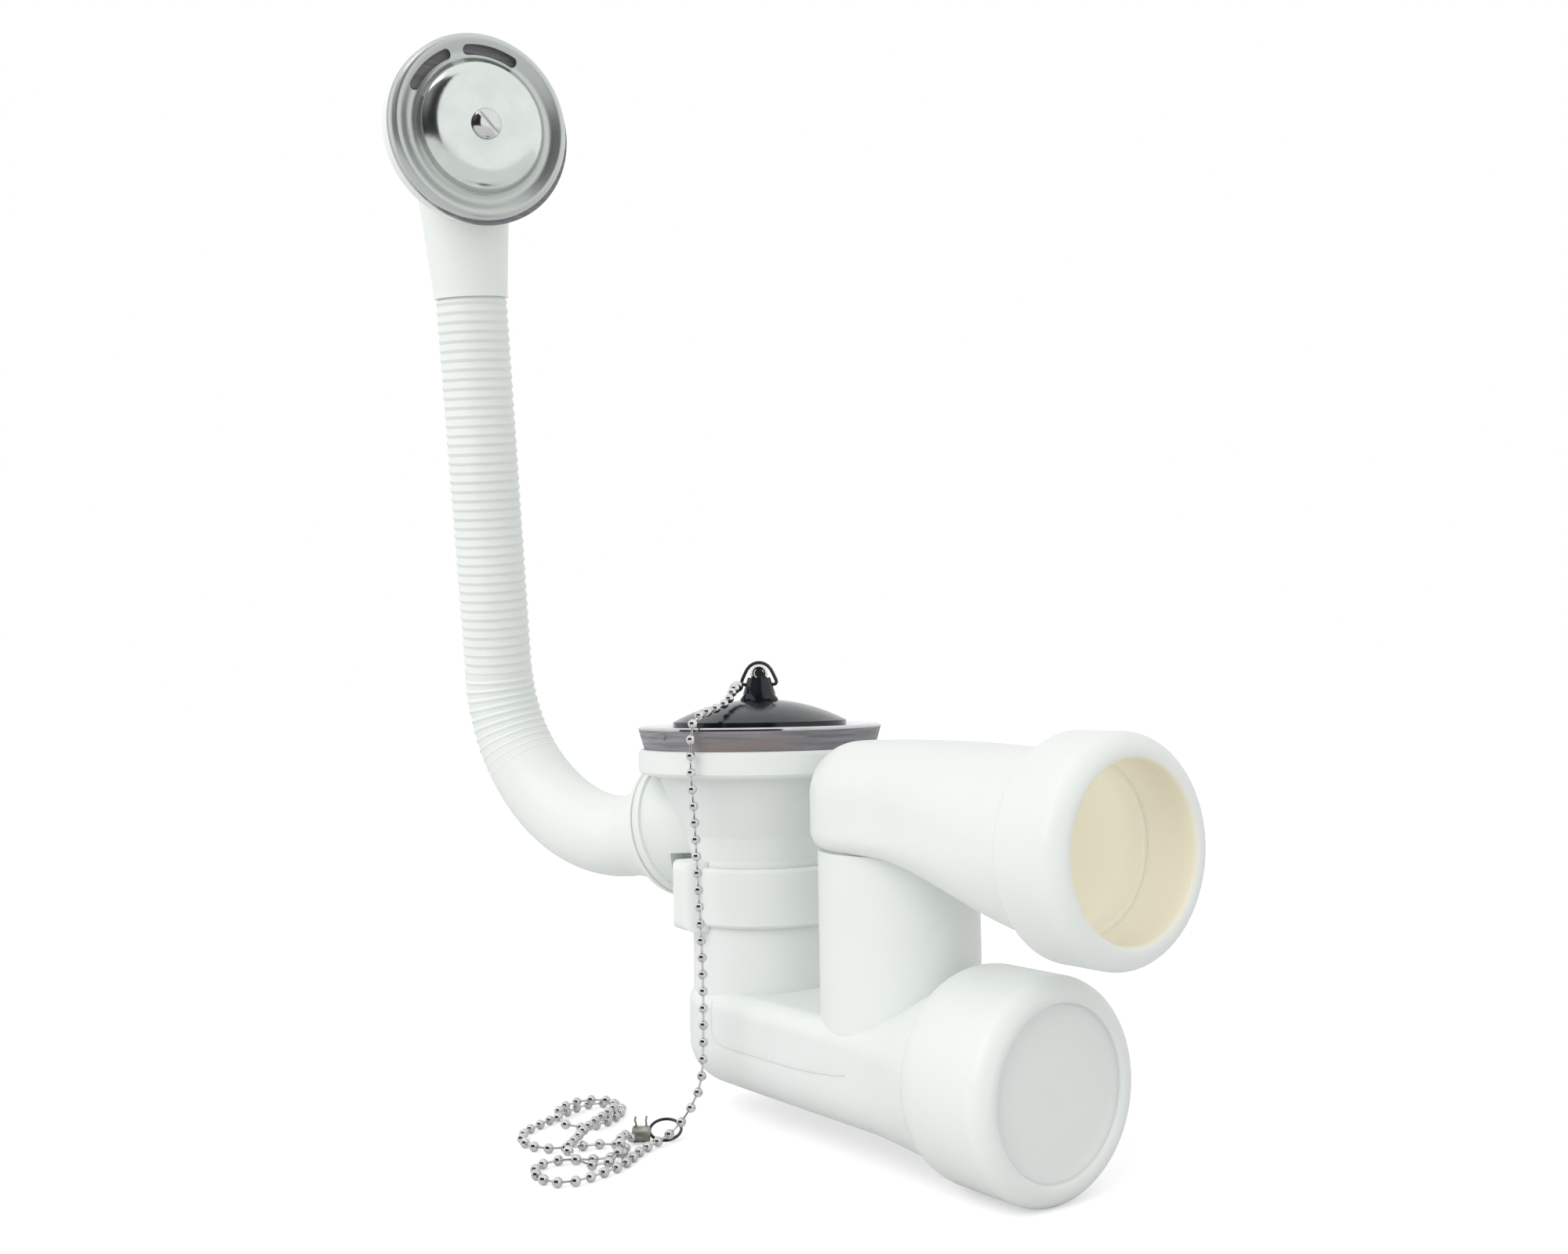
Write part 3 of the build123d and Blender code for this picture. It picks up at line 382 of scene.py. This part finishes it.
# two tones drifting into each other, stretched as the caller likes
def makeToneDrift():
    inputs = {"Place": "Vector", "Scale": "Float", "Tone A": "Color", "Tone B": "Color"}
    tree, start, end = newGroup("toneDrift", inputs, {"Color": "Color", "Mask": "Float"})
    noise = addNode(tree, "ShaderNodeTexNoise", {"Detail": 4.0, "Roughness": 0.55})
    spread = addNode(tree, "ShaderNodeMapRange", {"From Min": 0.34, "From Max": 0.66})
    tones = addNode(tree, "ShaderNodeMix", data_type="RGBA")
    tree.links.new(start.outputs["Place"], noise.inputs["Vector"])
    tree.links.new(start.outputs["Scale"], noise.inputs["Scale"])
    tree.links.new(noise.outputs["Fac"], spread.inputs["Value"])
    tree.links.new(spread.outputs["Result"], tones.inputs[0])
    tree.links.new(start.outputs["Tone A"], tones.inputs[6])
    tree.links.new(start.outputs["Tone B"], tones.inputs[7])
    tree.links.new(tones.outputs[2], end.inputs["Color"])
    tree.links.new(spread.outputs["Result"], end.inputs["Mask"])
    return tree


# handling marks: roughness wanders between two values
def makeHandMarks():
    inputs = {"Place": "Vector", "Scale": "Float", "Smooth": "Float", "Dull": "Float"}
    tree, start, end = newGroup("handMarks", inputs, {"Roughness": "Float"})
    noise = addNode(tree, "ShaderNodeTexNoise", {"Detail": 2.0, "Roughness": 0.5})
    spread = addNode(tree, "ShaderNodeMapRange", {"From Min": 0.3, "From Max": 0.7})
    tree.links.new(start.outputs["Place"], noise.inputs["Vector"])
    tree.links.new(start.outputs["Scale"], noise.inputs["Scale"])
    tree.links.new(noise.outputs["Fac"], spread.inputs["Value"])
    tree.links.new(start.outputs["Smooth"], spread.inputs["To Min"])
    tree.links.new(start.outputs["Dull"], spread.inputs["To Max"])
    tree.links.new(spread.outputs["Result"], end.inputs["Roughness"])
    return tree


mouldSkin = makeMouldSkin()
toneDrift = makeToneDrift()
handMarks = makeHandMarks()
print("shader groups built")


def startMaterial(name):
    material = bpy.data.materials.new(name)
    material.use_nodes = True
    tree = material.node_tree
    return material, tree, tree.nodes["Principled BSDF"], addNode(tree, "ShaderNodeTexCoord")


def placeGroup(tree, group, place, values):
    node = addNode(tree, "ShaderNodeGroup", values, node_tree=group)
    tree.links.new(place, node.inputs["Place"])
    return node


# places the three groups from a finish's dictionary, and gives the tone and the roughness:
# drift, marks, fine and slow are noise scales, and deep is the bump's depth in metres
def addFinish(tree, bsdf, place, values, streaks=None):
    # tone and marks take the streaked place where one is given; in the rubber the tone's streaks are
    # painted reflection lines
    driftPlace = place if streaks is None else streaks
    tone = placeGroup(tree, toneDrift, driftPlace, {
        "Scale": values["drift"], "Tone A": values["toneA"], "Tone B": values["toneB"],
    })
    marks = placeGroup(tree, handMarks, driftPlace, {
        "Scale": values["marks"], "Smooth": values["smooth"], "Dull": values["dull"],
    })
    skin = placeGroup(tree, mouldSkin, place, {
        "Fine": values["fine"], "Slow": values["slow"], "Fine Share": values["share"],
    })
    bump = addNode(tree, "ShaderNodeBump", {"Strength": values["bump"], "Distance": values["deep"]})
    tree.links.new(skin.outputs["Height"], bump.inputs["Height"])
    tree.links.new(bump.outputs["Normal"], bsdf.inputs["Normal"])
    return tone, marks.outputs["Roughness"]


# light that goes a little way into the plastic, nearly the same in all colours
softRadius = (1.0, 0.97, 0.90)


def addSoft(bsdf, values):
    bsdf.inputs["Subsurface Weight"].default_value = values["soft"]
    bsdf.inputs["Subsurface Radius"].default_value = softRadius
    bsdf.inputs["Subsurface Scale"].default_value = values["softReach"]


whiteSet = {
    "toneA": (0.804, 0.838, 0.812, 1.0),
    "toneB": (0.832, 0.862, 0.840, 1.0),
    "drift": 26.0,
    "smooth": 0.36,
    "dull": 0.46,
    "marks": 60.0,
    "fine": 420.0,
    "slow": 55.0,
    "share": 0.06,
    "bump": 0.22,
    "deep": 0.0005,
    "soft": 0.25,
    "softReach": 0.004,
}


# semi-gloss white moulding; inside the outlet a cream tint and an emission glow are painted light,
# standing for warm light that comes through the thin wall and bounces inside
def makeWhite(name, bore=False):
    material, tree, bsdf, coords = startMaterial(name)
    tone, rough = addFinish(tree, bsdf, coords.outputs["Object"], whiteSet)
    addSoft(bsdf, whiteSet)
    color = tone.outputs["Color"]
    if bore:
        color = addBorePaintedLight(tree, coords, bsdf, color)
    tree.links.new(color, bsdf.inputs["Base Color"])
    tree.links.new(rough, bsdf.inputs["Roughness"])
    return material


# each blend starts at From and ends at Full: a cosine for facing, else a place along Y
boreSet = {
    "onAxis": (0.0, 0.0, -0.024),
    # painted light: the cream tint stands for warm light bounced inside the bore, not a colour of the
    # plastic
    "cream": (0.86, 0.82, 0.69, 1.0),
    "facingFrom": -0.15,
    "facingFull": -0.75,
    "ledgeRadius": 0.0204,
    "mouthFrom": -0.1372,
    "mouthFull": -0.1360,
    "ledgeFrom": -0.100,
    "ledgeFull": -0.118,
    # painted glow: emission that stands for daylight through the wall; it is no lamp
    "glow": (0.168, 0.174, 0.166, 1.0),   # daylight through the thin wall, more of it deeper in
    "glowFrom": -0.135,
    "glowFull": -0.118,
}


def addRamp(tree, start, full):
    return addNode(tree, "ShaderNodeMapRange", {"From Min": start, "From Max": full})


# painted light on the walls that face the outlet's own axis, and on the ledge that stops the pipe: a
# cream tint, and an emission glow that grows deeper in
def addBorePaintedLight(tree, coords, bsdf, color):
    apart = addNode(tree, "ShaderNodeVectorMath", {1: boreSet["onAxis"]}, operation="SUBTRACT")
    flat = addNode(tree, "ShaderNodeVectorMath", {1: (1.0, 0.0, 1.0)}, operation="MULTIPLY")
    outward = addNode(tree, "ShaderNodeVectorMath", operation="NORMALIZE")
    reach = addNode(tree, "ShaderNodeVectorMath", operation="LENGTH")
    facing = addNode(tree, "ShaderNodeVectorMath", operation="DOT_PRODUCT")
    inward = addRamp(tree, boreSet["facingFrom"], boreSet["facingFull"])
    split = addNode(tree, "ShaderNodeSeparateXYZ")
    within = addNode(tree, "ShaderNodeMath", {1: boreSet["ledgeRadius"]}, operation="LESS_THAN")
    behind = addRamp(tree, boreSet["mouthFrom"], boreSet["mouthFull"])
    ledge = addNode(tree, "ShaderNodeMath", operation="MULTIPLY")
    outerEnd = addRamp(tree, boreSet["ledgeFrom"], boreSet["ledgeFull"])
    nearLedge = addNode(tree, "ShaderNodeMath", operation="MULTIPLY")
    mask = addNode(tree, "ShaderNodeMath", operation="MAXIMUM")
    mix = addNode(tree, "ShaderNodeMix", {7: boreSet["cream"]}, data_type="RGBA")
    deep = addRamp(tree, boreSet["glowFrom"], boreSet["glowFull"])
    lit = addNode(tree, "ShaderNodeMath", operation="MULTIPLY")
    dark = (0.0, 0.0, 0.0, 1.0)
    glow = addNode(tree, "ShaderNodeMix", {6: dark, 7: boreSet["glow"]}, data_type="RGBA")
    tree.links.new(coords.outputs["Object"], apart.inputs[0])
    tree.links.new(apart.outputs[0], flat.inputs[0])
    tree.links.new(flat.outputs[0], outward.inputs[0])
    tree.links.new(flat.outputs[0], reach.inputs[0])
    tree.links.new(coords.outputs["Normal"], facing.inputs[0])
    tree.links.new(outward.outputs[0], facing.inputs[1])
    tree.links.new(facing.outputs["Value"], inward.inputs["Value"])
    tree.links.new(coords.outputs["Object"], split.inputs[0])
    for ramp in (behind, outerEnd, deep):
        tree.links.new(split.outputs["Y"], ramp.inputs["Value"])
    tree.links.new(reach.outputs["Value"], within.inputs[0])
    tree.links.new(within.outputs[0], ledge.inputs[0])
    tree.links.new(behind.outputs["Result"], ledge.inputs[1])
    tree.links.new(ledge.outputs[0], nearLedge.inputs[0])
    tree.links.new(outerEnd.outputs["Result"], nearLedge.inputs[1])
    tree.links.new(inward.outputs["Result"], mask.inputs[0])
    tree.links.new(nearLedge.outputs[0], mask.inputs[1])
    tree.links.new(mask.outputs[0], mix.inputs[0])
    tree.links.new(color, mix.inputs[6])
    tree.links.new(mask.outputs[0], lit.inputs[0])
    tree.links.new(deep.outputs["Result"], lit.inputs[1])
    tree.links.new(lit.outputs[0], glow.inputs[0])
    tree.links.new(glow.outputs[2], bsdf.inputs["Emission Color"])
    bsdf.inputs["Emission Strength"].default_value = 1.0
    return mix.outputs[2]


# the hose and the cup above it are of a softer plastic; the cup's lighter tones are painted light,
# brightening a neck that gets less light
softSet = {
    "shared": {
        "drift": 45.0, "smooth": 0.38, "dull": 0.50, "marks": 120.0,
        "fine": 1500.0, "slow": 160.0, "share": 0.2, "bump": 0.25, "deep": 0.0004, "softReach": 0.002,
    },
    "hosePlastic": {
        "toneA": (0.818, 0.858, 0.816, 1.0), "toneB": (0.846, 0.884, 0.846, 1.0), "soft": 0.25,
    },
    # painted light: tones lifted above the white's so the cup and its neck look lit
    "headPlasticLit": {
        "toneA": (0.872, 0.912, 0.872, 1.0), "toneB": (0.892, 0.930, 0.892, 1.0), "soft": 0.08,
    },
}


def makeSoftPlastic(name):
    values = {**softSet["shared"], **softSet[name]}
    material, tree, bsdf, coords = startMaterial(name)
    tone, rough = addFinish(tree, bsdf, coords.outputs["Object"], values)
    addSoft(bsdf, values)
    tree.links.new(tone.outputs["Color"], bsdf.inputs["Base Color"])
    tree.links.new(rough, bsdf.inputs["Roughness"])
    return material


rubberSet = {
    "toneA": (0.165, 0.158, 0.172, 1.0),
    "toneB": (0.300, 0.297, 0.328, 1.0),
    "drift": 60.0,
    "smooth": 0.32,
    "dull": 0.55,
    "marks": 80.0,
    "fine": 2200.0,
    "slow": 240.0,
    "share": 0.4,
    "bump": 0.35,
    "deep": 0.0005,
    # stretched places: the tone streaks here are painted reflection lines; the roughness streaks are the
    # rubber's own
    "streaks": (1.0, 1.0, 16.0),
    # painted reflection: a brown tint low on the side that faces the camera
    "brownReflection": (0.22, 0.155, 0.115, 1.0),
    "reflectionTurn": -132.0,
    "reflectionFrom": 0.029,
    "reflectionFull": 0.0335,
    "reflectionTop": 0.0018,
    "reflectionLow": -0.0022,
}


# mauve-grey seal rubber: its tone runs in horizontal streaks that are painted reflection lines, its
# roughness in the same streaks, and a painted brown reflection lies low on the side facing the camera
def makeGreyRubber():
    material, tree, bsdf, coords = startMaterial("greyRubber")
    place = coords.outputs["Object"]
    streaks = addNode(tree, "ShaderNodeMapping", {"Scale": rubberSet["streaks"]})
    tree.links.new(place, streaks.inputs["Vector"])
    tone, rough = addFinish(tree, bsdf, place, rubberSet, streaks.outputs["Vector"])
    turn = math.radians(rubberSet["reflectionTurn"])
    side = (math.cos(turn), math.sin(turn), 0.0)
    toward = addNode(tree, "ShaderNodeVectorMath", {1: side}, operation="DOT_PRODUCT")
    split = addNode(tree, "ShaderNodeSeparateXYZ")
    nearSide = addRamp(tree, rubberSet["reflectionFrom"], rubberSet["reflectionFull"])
    low = addRamp(tree, rubberSet["reflectionTop"], rubberSet["reflectionLow"])
    patch = addNode(tree, "ShaderNodeMath", operation="MULTIPLY")
    speck = addNode(tree, "ShaderNodeMath", operation="MULTIPLY")
    mix = addNode(tree, "ShaderNodeMix", {7: rubberSet["brownReflection"]}, data_type="RGBA")
    tree.links.new(place, toward.inputs[0])
    tree.links.new(place, split.inputs[0])
    tree.links.new(toward.outputs["Value"], nearSide.inputs["Value"])
    tree.links.new(split.outputs["Z"], low.inputs["Value"])
    tree.links.new(nearSide.outputs["Result"], patch.inputs[0])
    tree.links.new(low.outputs["Result"], patch.inputs[1])
    tree.links.new(patch.outputs[0], speck.inputs[0])
    tree.links.new(tone.outputs["Mask"], speck.inputs[1])
    tree.links.new(speck.outputs[0], mix.inputs[0])
    tree.links.new(tone.outputs["Color"], mix.inputs[6])
    tree.links.new(mix.outputs[2], bsdf.inputs["Base Color"])
    tree.links.new(rough, bsdf.inputs["Roughness"])
    return material


sealSet = {
    "toneA": (0.62, 0.52, 0.36, 1.0),
    "toneB": (0.80, 0.77, 0.66, 1.0),
    "drift": 110.0,
    "smooth": 0.42,
    "dull": 0.6,
    "marks": 150.0,
    "fine": 1800.0,
    "slow": 300.0,
    "share": 0.4,
    "bump": 0.3,
    "deep": 0.0003,
}


def makeCreamSeal():
    material, tree, bsdf, coords = startMaterial("creamSeal")
    tone, rough = addFinish(tree, bsdf, coords.outputs["Object"], sealSet)
    tree.links.new(tone.outputs["Color"], bsdf.inputs["Base Color"])
    tree.links.new(rough, bsdf.inputs["Roughness"])
    return material


# bright metals share one recipe and differ in tone and polish
metalSet = {
    "shared": {"drift": 130.0, "marks": 160.0, "fine": 3000.0, "slow": 90.0, "share": 0.04, "bump": 0.3},
    "polishedSteel": {
        "toneA": (0.62, 0.64, 0.63, 1.0), "toneB": (0.70, 0.72, 0.71, 1.0),
        "smooth": 0.08, "dull": 0.14, "deep": 0.0001,
    },
    "plateSteel": {
        "toneA": (0.70, 0.745, 0.715, 1.0), "toneB": (0.76, 0.805, 0.775, 1.0),
        "smooth": 0.15, "dull": 0.21, "deep": 0.0001,
    },
    "chainMetal": {
        "toneA": (0.66, 0.66, 0.665, 1.0), "toneB": (0.78, 0.78, 0.785, 1.0),
        "smooth": 0.05, "dull": 0.10, "deep": 0.00004,
    },
    "brass": {
        "toneA": (0.62, 0.45, 0.18, 1.0), "toneB": (0.74, 0.56, 0.27, 1.0),
        "smooth": 0.22, "dull": 0.4, "deep": 0.0001,
    },
    "darkWire": {
        "toneA": (0.05, 0.05, 0.055, 1.0), "toneB": (0.12, 0.115, 0.12, 1.0),
        "smooth": 0.22, "dull": 0.42, "deep": 0.0001,
    },
    "claspMetal": {
        "toneA": (0.33, 0.31, 0.27, 1.0), "toneB": (0.50, 0.48, 0.44, 1.0),
        "smooth": 0.25, "dull": 0.45, "deep": 0.0002,
    },
}

# the pressed plate is duller round its raised middle, and painted shade darkens it there, standing for
# the dimmer reflection in the trough
plateSet = {
    "centre": (-0.05472, 0.06688, 0.18553),
    "axis": (-0.12231, -0.982779, -0.138514),
    "domeEdge": 0.0190,
    "troughFrom": 0.0204,
    # painted shade: the darker reflection in the trough
    "troughShadeTone": (0.59, 0.625, 0.605, 1.0),
    "troughDull": 0.36,
}


def addTroughShade(tree, place, color, rough):
    apart = addNode(tree, "ShaderNodeVectorMath", {1: plateSet["centre"]}, operation="SUBTRACT")
    across = addNode(tree, "ShaderNodeVectorMath", {1: plateSet["axis"]}, operation="CROSS_PRODUCT")
    reach = addNode(tree, "ShaderNodeVectorMath", operation="LENGTH")
    beyond = addRamp(tree, plateSet["domeEdge"], plateSet["troughFrom"])
    mix = addNode(tree, "ShaderNodeMix", {7: plateSet["troughShadeTone"]}, data_type="RGBA")
    dulled = addNode(tree, "ShaderNodeMix", {3: plateSet["troughDull"]}, data_type="FLOAT")
    tree.links.new(place, apart.inputs[0])
    tree.links.new(apart.outputs[0], across.inputs[0])
    tree.links.new(across.outputs[0], reach.inputs[0])
    tree.links.new(reach.outputs["Value"], beyond.inputs["Value"])
    tree.links.new(beyond.outputs["Result"], mix.inputs[0])
    tree.links.new(beyond.outputs["Result"], dulled.inputs[0])
    tree.links.new(color, mix.inputs[6])
    tree.links.new(rough, dulled.inputs[2])
    return mix.outputs[2], dulled.outputs[0]


def makeMetal(name, trough=False):
    values = {**metalSet["shared"], **metalSet[name]}
    material, tree, bsdf, coords = startMaterial(name)
    place = coords.outputs["Object"]
    bsdf.inputs["Metallic"].default_value = 1.0
    tone, rough = addFinish(tree, bsdf, place, values)
    color = tone.outputs["Color"]
    if trough:
        color, rough = addTroughShade(tree, place, color, rough)
    tree.links.new(color, bsdf.inputs["Base Color"])
    tree.links.new(rough, bsdf.inputs["Roughness"])
    return material


plugSet = {
    "toneA": (0.005, 0.008, 0.011, 1.0),
    "toneB": (0.012, 0.016, 0.021, 1.0),
    "drift": 150.0,
    "smooth": 0.07,
    "dull": 0.15,
    "marks": 110.0,
    "fine": 2400.0,
    "slow": 200.0,
    "share": 0.3,
    "bump": 0.3,
    "deep": 0.0003,
    "shine": 0.42,
}


def makePlugRubber():
    material, tree, bsdf, coords = startMaterial("plugRubber")
    bsdf.inputs["Specular IOR Level"].default_value = plugSet["shine"]
    tone, rough = addFinish(tree, bsdf, coords.outputs["Object"], plugSet)
    tree.links.new(tone.outputs["Color"], bsdf.inputs["Base Color"])
    tree.links.new(rough, bsdf.inputs["Roughness"])
    return material


whitePlastic = makeWhite("whitePlastic")
socketPlastic = makeWhite("socketPlastic", bore=True)
hosePlastic = makeSoftPlastic("hosePlastic")
headPlasticLit = makeSoftPlastic("headPlasticLit")
greyRubber = makeGreyRubber()
creamSeal = makeCreamSeal()
plugRubber = makePlugRubber()
polishedSteel = makeMetal("polishedSteel")
plateSteel = makeMetal("plateSteel", trough=True)
chainMetal = makeMetal("chainMetal")
brass = makeMetal("brass")
darkWire = makeMetal("darkWire")
claspMetal = makeMetal("claspMetal")

finishes = {
    "overflow_faceplate": plateSteel, "overflow_screw": polishedSteel, "overflow_gasket": greyRubber,
    "overflow_head": headPlasticLit, "overflow_insert": brass, "overflow_hose": hosePlastic,
    "hose_seal": creamSeal, "waste_flange": polishedSteel, "flange_washer": greyRubber,
    "flange_gasket": greyRubber, "waste_screw": polishedSteel, "waste_screw_insert": brass,
    "waste_body": whitePlastic, "coupling_nut": whitePlastic, "coupling_seal": creamSeal,
    "trap_body": whitePlastic, "blanking_disc": whitePlastic, "outlet_elbow": socketPlastic,
    "outlet_collar": socketPlastic, "plug": plugRubber, "plug_stud": chainMetal, "plug_ring": darkWire,
    "chain_top_coupling": chainMetal, "chain_end_coupling": claspMetal, "chain_end_ring": darkWire,
    "chain": chainMetal, "chain_heap": chainMetal,
}
for name, material in finishes.items():
    slots = nodes[name].data.materials
    if len(slots):
        for k in range(len(slots)):
            slots[k] = material
    else:
        slots.append(material)
for piece, material in (
    (chain, chainMetal), (plugRing, darkWire), (topCoupling, chainMetal), (endClasp, claspMetal),
    (trapSeam, whitePlastic), (gasketPip, greyRubber),
):
    piece.data.materials.append(material)
print("materials placed on", len(finishes), "solids")

# floor and light
stageSet = {
    "floorZ": -0.10665,
    "floorHalf": 6.0,
    "floorTone": (0.78, 0.78, 0.78, 1.0),
    "floorDull": 0.9,
    "floorLift": 0.44,   # glow that only the camera sees
    "skyLow": 0.78,      # strength of the sky as a light; what the camera and metal see is 1
    "keyFrom": (-0.80, -0.16, 0.58),
    "keySpread": 50.0,
    "keyPower": 1.1,
}


def makeFloor():
    mesh = bpy.data.meshes.new("studioFloor")
    z, half = stageSet["floorZ"], stageSet["floorHalf"]
    corners = [(-half, -half, z), (half, -half, z), (half, half, z), (-half, half, z)]
    mesh.from_pydata(corners, [], [(0, 1, 2, 3)])
    floor = bpy.data.objects.new("studioFloor", mesh)
    bpy.context.scene.collection.objects.link(floor)
    material = bpy.data.materials.new("paleFloor")
    material.use_nodes = True
    tree = material.node_tree
    bsdf = tree.nodes["Principled BSDF"]
    bsdf.inputs["Base Color"].default_value = stageSet["floorTone"]
    bsdf.inputs["Roughness"].default_value = stageSet["floorDull"]
    bsdf.inputs["Specular IOR Level"].default_value = 0.0
    rays = addNode(tree, "ShaderNodeLightPath")
    lift = addNode(tree, "ShaderNodeMath", {1: stageSet["floorLift"]}, operation="MULTIPLY")
    bsdf.inputs["Emission Color"].default_value = (1.0, 1.0, 1.0, 1.0)
    tree.links.new(rays.outputs["Is Camera Ray"], lift.inputs[0])
    tree.links.new(lift.outputs[0], bsdf.inputs["Emission Strength"])
    mesh.materials.append(material)


def makeSky():
    world = bpy.data.worlds.new("studioSky")
    bpy.context.scene.world = world
    world.use_nodes = True
    tree = world.node_tree
    ground = tree.nodes["Background"]
    ground.inputs["Color"].default_value = (1.0, 1.0, 1.0, 1.0)
    rays = addNode(tree, "ShaderNodeLightPath")
    seen = addNode(tree, "ShaderNodeMath", operation="MAXIMUM")
    either = addNode(tree, "ShaderNodeMath", operation="MAXIMUM")
    level = addNode(tree, "ShaderNodeMapRange", {"To Min": stageSet["skyLow"], "To Max": 1.0})
    tree.links.new(rays.outputs["Is Camera Ray"], seen.inputs[0])
    tree.links.new(rays.outputs["Is Glossy Ray"], seen.inputs[1])
    tree.links.new(seen.outputs[0], either.inputs[0])
    tree.links.new(rays.outputs["Is Transmission Ray"], either.inputs[1])
    tree.links.new(either.outputs[0], level.inputs["Value"])
    tree.links.new(level.outputs["Result"], ground.inputs["Strength"])


def makeKey():
    data = bpy.data.lights.new("softKey", "SUN")
    data.angle = math.radians(stageSet["keySpread"])
    data.energy = stageSet["keyPower"]
    lamp = bpy.data.objects.new("softKey", data)
    lamp.location = stageSet["keyFrom"]
    lamp.rotation_euler = (-Vector(stageSet["keyFrom"])).to_track_quat("-Z", "Y").to_euler()
    bpy.context.scene.collection.objects.link(lamp)


cardSet = {
    "place": (-0.99, -0.46, 0.50),
    "wide": 2.6,
    "high": 1.90,
    "tone": (0.012, 0.012, 0.012, 1.0),
    "dull": 0.9,
}


# a dark card that only reflections show
def makeCard():
    material = bpy.data.materials.new("cardLeftTone")
    material.use_nodes = True
    bsdf = material.node_tree.nodes["Principled BSDF"]
    bsdf.inputs["Base Color"].default_value = cardSet["tone"]
    bsdf.inputs["Roughness"].default_value = cardSet["dull"]
    mesh = bpy.data.meshes.new("cardLeft")
    w, h = cardSet["wide"] / 2, cardSet["high"] / 2
    mesh.from_pydata([(-w, -h, 0), (w, -h, 0), (w, h, 0), (-w, h, 0)], [], [(0, 1, 2, 3)])
    mesh.materials.append(material)
    card = bpy.data.objects.new("cardLeft", mesh)
    place = Vector(cardSet["place"])
    card.location = place
    card.rotation_euler = (-Vector((place.x, place.y, 0.0))).to_track_quat("Z", "Y").to_euler()
    card.visible_camera = False
    card.visible_diffuse = False
    card.visible_shadow = False
    bpy.context.scene.collection.objects.link(card)


makeFloor()
makeSky()
makeKey()
makeCard()
bpy.context.scene.view_settings.view_transform = "Standard"
print("stage lit")
